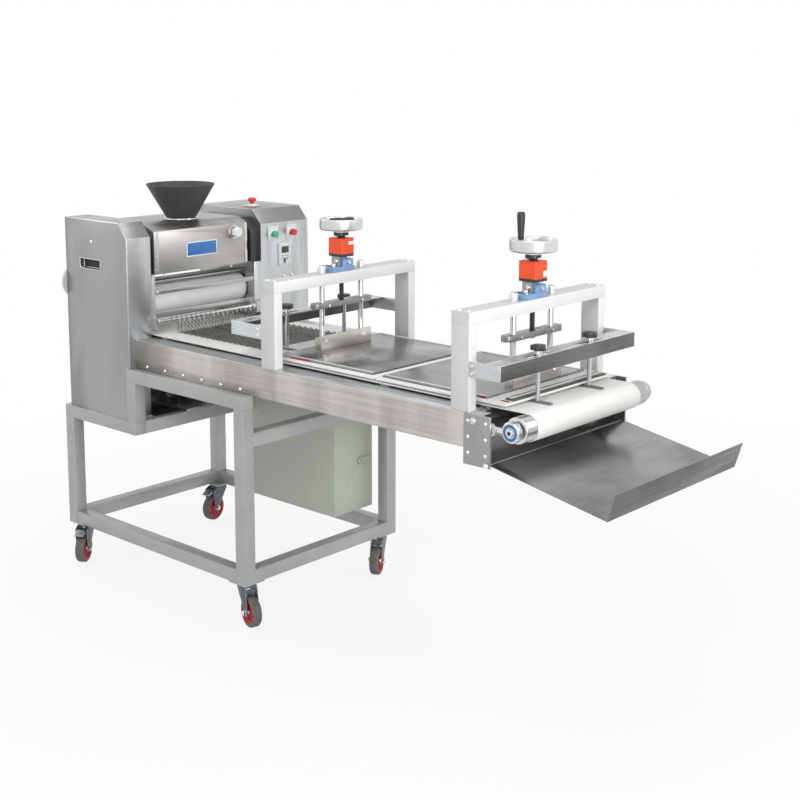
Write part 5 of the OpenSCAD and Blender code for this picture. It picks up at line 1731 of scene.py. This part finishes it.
@dataclass
class Handwheel(Part):
    """A lifting screw with its clamp, its handwheel and the folding crank grip."""

    name: str
    x: float
    grip_angle: float
    grip_folded: bool
    mid_y: float = 320.0
    screw_r: float = 7.0
    thread: Pair = (915.0, 1119.4)
    thread_pitch: float = 4.0
    clamp_z: float = 1133.1
    grip_r: float = 40.0
    grip_z: float = 1166.0
    grip_len: float = 71.0

    def build(self) -> None:
        """Dresses the wheel, threads its screw and turns the grip."""
        node = self.name + "_handwheel"
        self.shop.dress(node, ("wheel_aluminium", "black_plastic", "dull_steel"), 1.6, self.paint)
        self.build_thread()
        self.build_grip()

    def paint(self, centre: Vector, normal: Vector) -> int:
        """Deletes the plain screw and picks black for the clamp."""
        return DELETE if centre.z < self.thread[1] - 1 else int(centre.z < self.clamp_z)

    def build_thread(self) -> None:
        """Turns the screw with its thread and the clamp's two lobes."""
        z0, z1 = self.thread
        count = int((z1 - z0 - 3) / self.thread_pitch)
        profile = [(0.0, 0.0), (0.0, self.screw_r - 1.6), (1.2, self.screw_r - 0.9)]
        for k in range(count):
            z = 1.2 + k * self.thread_pitch
            profile += [(z + 1.1, self.screw_r), (z + 2.0, self.screw_r),
                        (z + 3.1, self.screw_r - 0.9)]
        profile += [(z1 - z0, self.screw_r - 0.9), (z1 - z0, 0.0)]
        tool = Sculptor(self.shop)
        tool.lathe((self.x, self.mid_y, z0), Z_AXIS, profile, 0, 20)
        tool.lathe((self.x, self.mid_y, z1), Z_AXIS,
                   [(0, 7), (0, 10.4), (2, 11), (12, 11), (12, 7)], 1, 32, closed=True)
        tool.piece(self.name + "_lift_screw", self.name + "_handwheel",
                   ("screw_dark", "wheel_aluminium"), smooth=30)
        lobes = Sculptor(self.shop)
        for side in (-1, 1):
            lobes.lathe((self.x, self.mid_y + side * 13, self.clamp_z - 10), Z_AXIS,
                        [(0, 6), (0, 8.5), (1, 9.3), (11, 9.3), (13, 7.4), (13.6, 4), (13.6, 0)],
                        0, 28)
            lobes.lathe((self.x + 12.6, self.mid_y + side * 13, self.clamp_z - 5), X_AXIS,
                        [(0, 3.4), (2.6, 3.4), (3, 2.8), (3, 0)], 1, 6)
        lobes.piece(self.name + "_clamp_lobes", self.name + "_handwheel",
                    ("black_plastic", "zinc_plating"))

    def build_grip(self) -> None:
        """Turns the waisted grip on its tongue and pin, upright or folded inwards."""
        turn = math.radians(self.grip_angle)
        out = Vector((math.cos(turn), math.sin(turn), 0.0))
        aside = Vector((-math.sin(turn), math.cos(turn), 0.0))
        pivot = Vector((self.x, self.mid_y, self.grip_z)) + out * self.grip_r
        way = -out if self.grip_folded else Vector(Z_AXIS)
        tall = Vector(Z_AXIS) if self.grip_folded else out
        tool = Sculptor(self.shop)
        tool.rod(pivot - aside * 10, pivot + aside * 10, 2.5, 1)
        corners = [pivot + way * w + tall * t - aside * 3.8
                   for w, t in ((-5, -4), (-5, 4), (8, 4), (8, -4))]
        tool.prism(corners, aside * 7.6, 1)
        end = self.grip_len
        tool.lathe(pivot + way * 7, way,
                   [(0, 0), (0, 7.2), (1.2, 7.8), (10, 7.9), (26, 8.8), (44, 9.9), (end - 14, 10.5),
                    (end - 5, 10.3), (end - 1.6, 9.0), (end - 0.6, 7.2), (end - 1.2, 6.2),
                    (end - 1.2, 0)], 0, 40)
        grip = tool.piece(self.name + "_grip_turned", self.name + "_crank_grip",
                          ("black_plastic", "bright_steel"), smooth=40)
        self.shop.stand_for(grip, self.name + "_crank_grip")


@dataclass
class SideGuides(Part):
    """The two carriers across the belt and their four sliding guides."""

    names: tuple[tuple[str, float], ...] = (("rear_near", 895.0), ("rear_far", 895.0),
                                            ("front_near", 905.0), ("front_far", 905.0))
    foot_top: float = 789.3
    star: float = 11.8
    blocks: tuple[Cut, ...] = (((1658.3, 29.0, 866.5), (1672.0, 44.0, 904.5)),
                               ((889.5, 32.3, 857.0), (913.6, 44.0, 894.5)))
    screws: tuple[Pair, ...] = ((1668.0, 885.0), (900.0, 876.0))
    screw_y: Pair = (29.0, 611.0)

    def build(self) -> None:
        """Dresses the carriers and guides and adds lugs and screws."""
        # Tops and arms lit, flanges shaded, rounded edges in light strip steel: painted light,
        # shade and highlight.
        self.shop.dress("guide_carriers", ("beam_top", "carrier_steel", "hood_strip"), 1.1,
                        self.paint_carrier, edge=2)
        for name, top in self.names:
            self.shop.dress(name + "_guide",
                            ("foot_grey", "chrome_rod", "bright_steel", "black_plastic"), 0.7,
                            lambda centre, normal, top=top: self.paint_guide(centre, normal, top),
                            [((0, 0, self.foot_top), Z_AXIS)])
        tool = Sculptor(self.shop)
        for low, high in self.blocks:
            tool.box(low, high)
        tool.piece("carrier_blocks", "base", ("white_plastic",), 1.0)
        near, far = self.screw_y
        spots = [((x, y, z + lift), way) for x, z in self.screws
                 for y, way in ((near, Way.NEAR), (far, Way.FAR)) for lift in (-9, 9)]
        self.shop.fixings.scatter("carrier_screws", Head.CAP_SCREW, "base", "bright_steel",
                                  spots, 19)

    def paint_carrier(self, centre: Vector, normal: Vector) -> int:
        """Picks a painted lit copy of the steel for tops and arms and a painted shaded copy for the
        flanges.
        """
        return int(abs(normal.x) > ALIGNED or normal.z < -ALIGNED)

    def paint_guide(self, centre: Vector, normal: Vector, top: float) -> int:
        """Picks a guide's finish: foot, pin, collars or star knob.

        Args:
            centre: The face's centre in millimetres.
            normal: Its normal.
            top: Height of the carrier's top.

        Returns:
            The finish's index.
        """
        if centre.z > top + self.star:
            return 3
        if centre.z < self.foot_top + 0.05:
            return 0
        return 1 if centre.z < top - 14 else 2


@dataclass
class Cabinet(Part):
    """The control cabinet under the beams, with its door, latch and plugs."""

    plug_y: float = 448.0
    plug_x: Pair = (452.0, 734.0)
    plug_z: Pair = (233.0, 484.0)
    latch: Point = (786.0, 565.0, 367.0)

    def build(self) -> None:
        """Dresses the boxes and adds plugs and a key slot."""
        for node in ("cabinet", "cabinet_door"):
            self.shop.dress(node, ("cabinet_paint",), 1.8)
        self.shop.dress("door_latch", ("cabinet_paint", "zinc_plating"), 0.9, edge=1)
        self.shop.fixings.scatter("cabinet_plugs", Head.PLUG, "base", "cabinet_paint",
                                  [((x, self.plug_y, z), Way.NEAR)
                                   for x in self.plug_x for z in self.plug_z])
        # A black sliver on the latch: painted shade of its key slot.
        tool = Sculptor(self.shop)
        x, y, z = self.latch
        tool.box((x - 0.2, y - 1.2, z - 5), (x + 0.25, y + 1.2, z + 5))
        tool.piece("latch_slot", "door_latch", ("black_void",))


@dataclass
class Drive(Part):
    """The gear motor under the head and the air cap behind the near housing."""

    x: float = 184.5
    z: float = 604.0
    radius: float = 62.0
    span: Pair = (150.0, 400.0)
    plate: Rect = (0.0, 369.0, 200.0, 420.0)
    plate_z: float = 524.0
    pan: Rect = (2.0, 345.0, 94.0, 544.0)
    fins: int = 26
    cap: Pair = (45.0, 926.0)
    cap_r: float = 56.0
    cap_x: Pair = (10.0, 30.0)
    vents: int = 28

    def build(self) -> None:
        """Makes the motor, its gear case and the cap in place of the plain node."""
        tool = Sculptor(self.shop)
        self.build_motor(tool)
        self.build_case(tool)
        self.build_cap(tool)
        self.build_pan(tool)
        drive = tool.piece("gear_motor", "base", ("motor_grey", "zinc_plating", "black_void",
                                                  "gantry_grey", "pan_dark"), 0.6)
        self.shop.stand_for(drive, "drive_motor")
        y0, y1 = self.plate[2:]
        spots = [((x, y, self.plate_z + 6), Way.UP) for x in (60, 310) for y in (y0 + 14, y1 - 14)]
        self.shop.fixings.scatter("motor_plate_bolts", Head.HEX_BOLT, "base", "zinc_plating",
                                  spots, 23)

    def build_pan(self, tool: Sculptor) -> None:
        """Lays a near black pan that closes the head from below: painted shade under the head.

        Args:
            tool: The piece in work.
        """
        x0, x1, y0, y1 = self.pan
        z = self.plate_z + 0.4
        for low, high in (((x0, y0), (x1, self.plate[2])), ((x0, self.plate[3]), (x1, y1))):
            tool.box((*low, z), (*high, z + 1.6), 4)
            tool.box((*low, z + 1.6), (x0 + 3, high[1], z + 14), 4)

    def build_motor(self, tool: Sculptor) -> None:
        """Makes the finned barrel, its end bells and fan cowl.

        Args:
            tool: The piece in work.
        """
        y0 = self.span[0]
        base = (self.x, y0, self.z)
        body = self.radius - 9
        tool.lathe(base, Y_AXIS,
                   [(0, 0), (0, 44), (5, 54), (10, 58), (52, 59), (54, body), (168, body),
                    (170, 59), (184, 60), (188, 56), (188, 0)], 0, 56)
        # Dark rings on the cowl's end: painted shade of its grille.
        for k in range(9):
            tool.lathe((self.x, y0 - 0.4, self.z), Y_AXIS,
                       [(0, 10 + 4 * k), (0, 12 + 4 * k), (2, 12 + 4 * k), (2, 10 + 4 * k)],
                       2, 40, closed=True)
        for k in range(self.fins):
            angle = 2 * math.pi * k / self.fins
            out = Vector((math.cos(angle), 0.0, math.sin(angle)))
            flat = Vector((-out.z, 0.0, out.x)) * 1.3
            root = Vector(base) + out * (body - 2) + Vector((0, 56, 0))
            tip = Vector(base) + out * (self.radius - 2) + Vector((0, 56, 0))
            tool.prism([root - flat, root + flat, tip + flat * 0.6, tip - flat * 0.6],
                       (0, 110, 0), 0)
        top = self.z + self.radius
        tool.box((self.x - 30, y0 + 84, top - 14), (self.x + 30, y0 + 150, top), 0)

    def build_case(self, tool: Sculptor) -> None:
        """Makes the gear case, its feet and the plate across the frame.

        Args:
            tool: The piece in work.
        """
        x0, x1, y0, y1 = self.plate
        z = self.plate_z
        tool.box((x0, y0, z), (x1, y1, z + 6), 1)
        near, far = self.span
        tool.box((self.x - 46, near + 186, z + 10), (self.x + 46, far, self.z + 48))
        tool.box((self.x - 66, near + 190, z + 6), (self.x + 66, far - 22, z + 17))
        for y in (near + 66, near + 150):
            foot = ((-66, 6), (66, 6), (66, 14), (34, 34), (-34, 34), (-66, 14))
            tool.prism([(self.x + u, y, z + v) for u, v in foot], (0, 14, 0))
        tool.lathe((self.x, self.span[1], self.z + 4), Y_AXIS,
                   [(-4, 34), (0, 34), (0, 30), (-1.5, 28), (-1.5, 0)], 1, 40)

    def build_cap(self, tool: Sculptor) -> None:
        """Makes the round air cap with dark strips painted as the shade of its vents.

        Args:
            tool: The piece in work.
        """
        y, z = self.cap
        front, back = self.cap_x
        tool.lathe((back, y, z), (-1, 0, 0),
                   [(0, self.cap_r - 1), (0, self.cap_r), (8, self.cap_r), (11, self.cap_r - 3),
                    (12, self.cap_r - 10), (18, self.cap_r - 13), (20, self.cap_r - 18), (20, 16),
                    (18, 14), (18, 0)], 3, 64)
        # Dark strips on the cap's face: painted shade of its vents.
        for k in range(self.vents):
            angle = 2 * math.pi * k / self.vents
            out = Vector((0.0, math.cos(angle), math.sin(angle)))
            aside = Vector((0.0, -out.z, out.y)) * 1.5
            root = Vector((front, y, z)) + out * 19
            tip = Vector((front, y, z)) + out * (self.cap_r - 20)
            tool.prism([root - aside, root + aside, tip + aside, tip - aside], (0.6, 0, 0), 2)


@dataclass
class Tray(Part):
    """The stainless tray that hangs from the end plates."""

    pivot: Pair = (1724.0, 658.0)
    ball_y: Pair = (16.0, 624.0)
    slope: float = 10.3
    apron_x: Pair = (1652.0, 1610.0)
    apron_y: Rect = (29.5, 75.0, 565.0, 610.5)
    sheet: float = 2.0

    def build(self) -> None:
        """Dresses the sheet, carries it back under the belt and tips its pins with balls."""
        # Faces that look front and back take the darker copy of the steel: painted shade.
        self.shop.dress("tray", ("tray_steel", "tray_lip"), 0.4,
                        lambda centre, normal: int(normal.x < -0.8 or normal.x > 0.8))
        x, z = self.pivot
        tool = Sculptor(self.shop)
        for y, way in ((self.ball_y[0], -1), (self.ball_y[1], 1)):
            arc = [(-6.5 * math.cos(a), 6.5 * math.sin(a))
                   for a in (math.pi * k / 12 for k in range(13))]
            profile = [(h, max(r, 0.0) if 0 < i < 12 else 0.0) for i, (h, r) in enumerate(arc)]
            tool.lathe((x, y, z), (0, way, 0), profile, steps=24)
        tool.piece("pivot_balls", "tray", ("white_plastic",), smooth=60)
        self.build_apron()

    def build_apron(self) -> None:
        """Builds the part of the sheet behind the pins, under the end roller."""
        front, top = self.pivot
        step, back = self.apron_x
        near, near_step, far_step, far = self.apron_y
        plan = [(front, near), (step, near), (step, near_step), (back, near_step),
                (back, far_step), (step, far_step), (step, far), (front, far)]
        rise = math.tan(math.radians(self.slope))
        tool = Sculptor(self.shop)
        tool.prism([(x, y, top + (front - x) * rise) for x, y in plan], (0, 0, -self.sheet))
        tool.piece("tray_apron", "tray", ("tray_steel",), 0.4)


@dataclass(frozen=True)
class CameraView:
    """The photograph's camera, fitted to the machine's corners."""

    place: Point = (3695.1, -2473.2, 1609.5)
    azimuth: float = 42.1
    elevation: float = 8.944
    roll: float = 0.092
    lens: float = 61.47
    shift_y: float = -0.15

    def build(self, axes: Axes) -> None:
        """Makes the scene's camera.

        Args:
            axes: The machine's axes.
        """
        az, el, roll = (math.radians(v) for v in (self.azimuth, self.elevation, self.roll))
        back = Vector((math.sin(az) * math.cos(el), -math.cos(az) * math.cos(el), math.sin(el)))
        right = Vector((math.cos(az), math.sin(az), 0.0))
        up = back.cross(right)
        turned_right = right * math.cos(roll) + up * math.sin(roll)
        turned_up = up * math.cos(roll) - right * math.sin(roll)
        data = bpy.data.cameras.new("photo_camera")
        data.sensor_width = 36.0
        data.lens = self.lens
        data.shift_y = self.shift_y
        data.clip_end = 60.0
        camera = put("photo_camera", data)
        axis_rows = Matrix((turned_right, turned_up, back)).transposed()
        camera.matrix_world = Matrix.Translation(axes.at(*self.place)) @ axis_rows.to_4x4()
        bpy.context.scene.camera = camera


@dataclass(frozen=True)
class Lamp:
    """One round soft lamp, in metres and watts."""

    place: Point
    aim: Point
    size: float
    power: float

    def build(self) -> None:
        """Hangs the lamp."""
        data = bpy.data.lights.new("soft_lamp", "AREA")
        data.shape = "DISK"
        data.size = self.size
        data.energy = self.power
        lamp = put("soft_lamp", data)
        lamp.location = self.place
        direction = Vector(self.aim) - Vector(self.place)
        lamp.rotation_euler = direction.to_track_quat("-Z", "Y").to_euler()


@dataclass
class Studio:
    """Pale floor, pale world and soft lamps."""

    floor_size: float = 30.0
    floor_colour: float = 0.80
    near_glow: float = 0.84
    glow_reach: Pair = (1.0, 2.8)
    world_light: float = 0.52
    lamps: tuple[Lamp, ...] = (
        Lamp((1.6, -3.4, 3.6), (0.0, 0.0, 0.7), 2.2, 58.0),
        Lamp((3.6, 1.6, 3.0), (0.2, 0.0, 0.7), 2.2, 40.0),
        Lamp((-3.2, -1.2, 2.6), (-0.4, 0.0, 0.7), 2.0, 22.0),
        Lamp((0.2, 0.3, 4.4), (0.2, 0.0, 0.6), 2.6, 28.0),
        Lamp((4.0, -2.0, 1.3), (-0.3, 0.0, 0.8), 1.8, 62.0),
    )

    def build(self) -> None:
        """Makes the floor, the world and the lamps."""
        self.build_floor()
        self.build_world()
        for lamp in self.lamps:
            lamp.build()

    def build_floor(self) -> None:
        """Makes the floor, which keeps the shadow near the machine and whitens far from it."""
        half = self.floor_size / 2
        mesh = bpy.data.meshes.new("floor")
        mesh.from_pydata([(-half, -half, 0), (half, -half, 0), (half, half, 0), (-half, half, 0)],
                         [], [(0, 1, 2, 3)])
        floor = put("floor", mesh)
        tree = MaterialTree("floor_paint")
        tree.feed(tree.shader, {"Base Color": (*grey(self.floor_colour), 1.0), "Roughness": 0.7})
        glow = tree.add("ShaderNodeEmission", {"Strength": 1.0})
        reach = tree.add("ShaderNodeVectorMath", {0: tree.coords}, operation="LENGTH")
        far = tree.remap(reach.outputs["Value"], self.near_glow, 1.0, *self.glow_reach)
        blend = tree.add("ShaderNodeMixShader", {
            0: tree.math("MULTIPLY", tree.seen(), far), 1: tree.shader.outputs["BSDF"],
            2: glow.outputs["Emission"]})
        tree.feed(tree.out, {"Surface": blend.outputs["Shader"]})
        mesh.materials.append(tree.material)

    def build_world(self) -> None:
        """Makes a world that lights softly and shows white behind the machine."""
        world = bpy.data.worlds.new("studio")
        world.use_nodes = True
        bpy.context.scene.world = world
        tree = Layout(world.node_tree)
        tree.tree.nodes.clear()
        shades = [tree.add("ShaderNodeBackground", {"Color": (1.0, 1.0, 1.0, 1.0),
                                                    "Strength": strength})
                  for strength in (self.world_light, 1.0)]
        blend = tree.add("ShaderNodeMixShader", {
            0: tree.seen(), 1: shades[0].outputs[0], 2: shades[1].outputs[0]})
        tree.add("ShaderNodeOutputWorld", {"Surface": blend.outputs[0]})


CASTORS = (
    Castor("rear_near", 37.5, 37.5, -56.0),
    Castor("rear_far", 37.5, 602.5, -80.0),
    Castor("front_near", 827.5, 37.5, -16.0),
    Castor("front_far", 827.5, 602.5, -62.0),
)
BOARDS = (
    Board("rear", 942.0, (900.0, 1265.0), None, (((950.0, 105.0), (1020.0, 108.5)),)),
    Board("front", 1630.0, (1300.0, 1650.0), 1692.0,
          (((1626.0, 104.0), (1644.0, 108.5)), ((1692.0, 114.0), (1714.0, 119.0)))),
)
HANDWHEELS = (
    Handwheel("rear", 942.0, -138.0, True),
    Handwheel("front", 1630.0, -107.0, False),
)


def main() -> None:
    """Builds the whole scene in order."""
    logging.basicConfig(level=logging.INFO, format="%(name)s %(message)s")
    bpy.context.scene.view_settings.view_transform = "Standard"
    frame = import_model()
    axes = Axes.from_frame()
    CameraView().build(axes)
    Studio().build()
    shop = Workshop(frame, axes, Palette())
    for part in (WeldedFrame(), *CASTORS, BrakePedals(), Housings(), Hood(), Controls(),
                 SheetingHead(), CurlingMesh(), Conveyor(), Gantries(), *BOARDS, *HANDWHEELS,
                 SideGuides(), Cabinet(), Drive(), Tray()):
        part.build_in(shop)
    shop.fixings.clear()


if __name__ == "__main__":
    main()
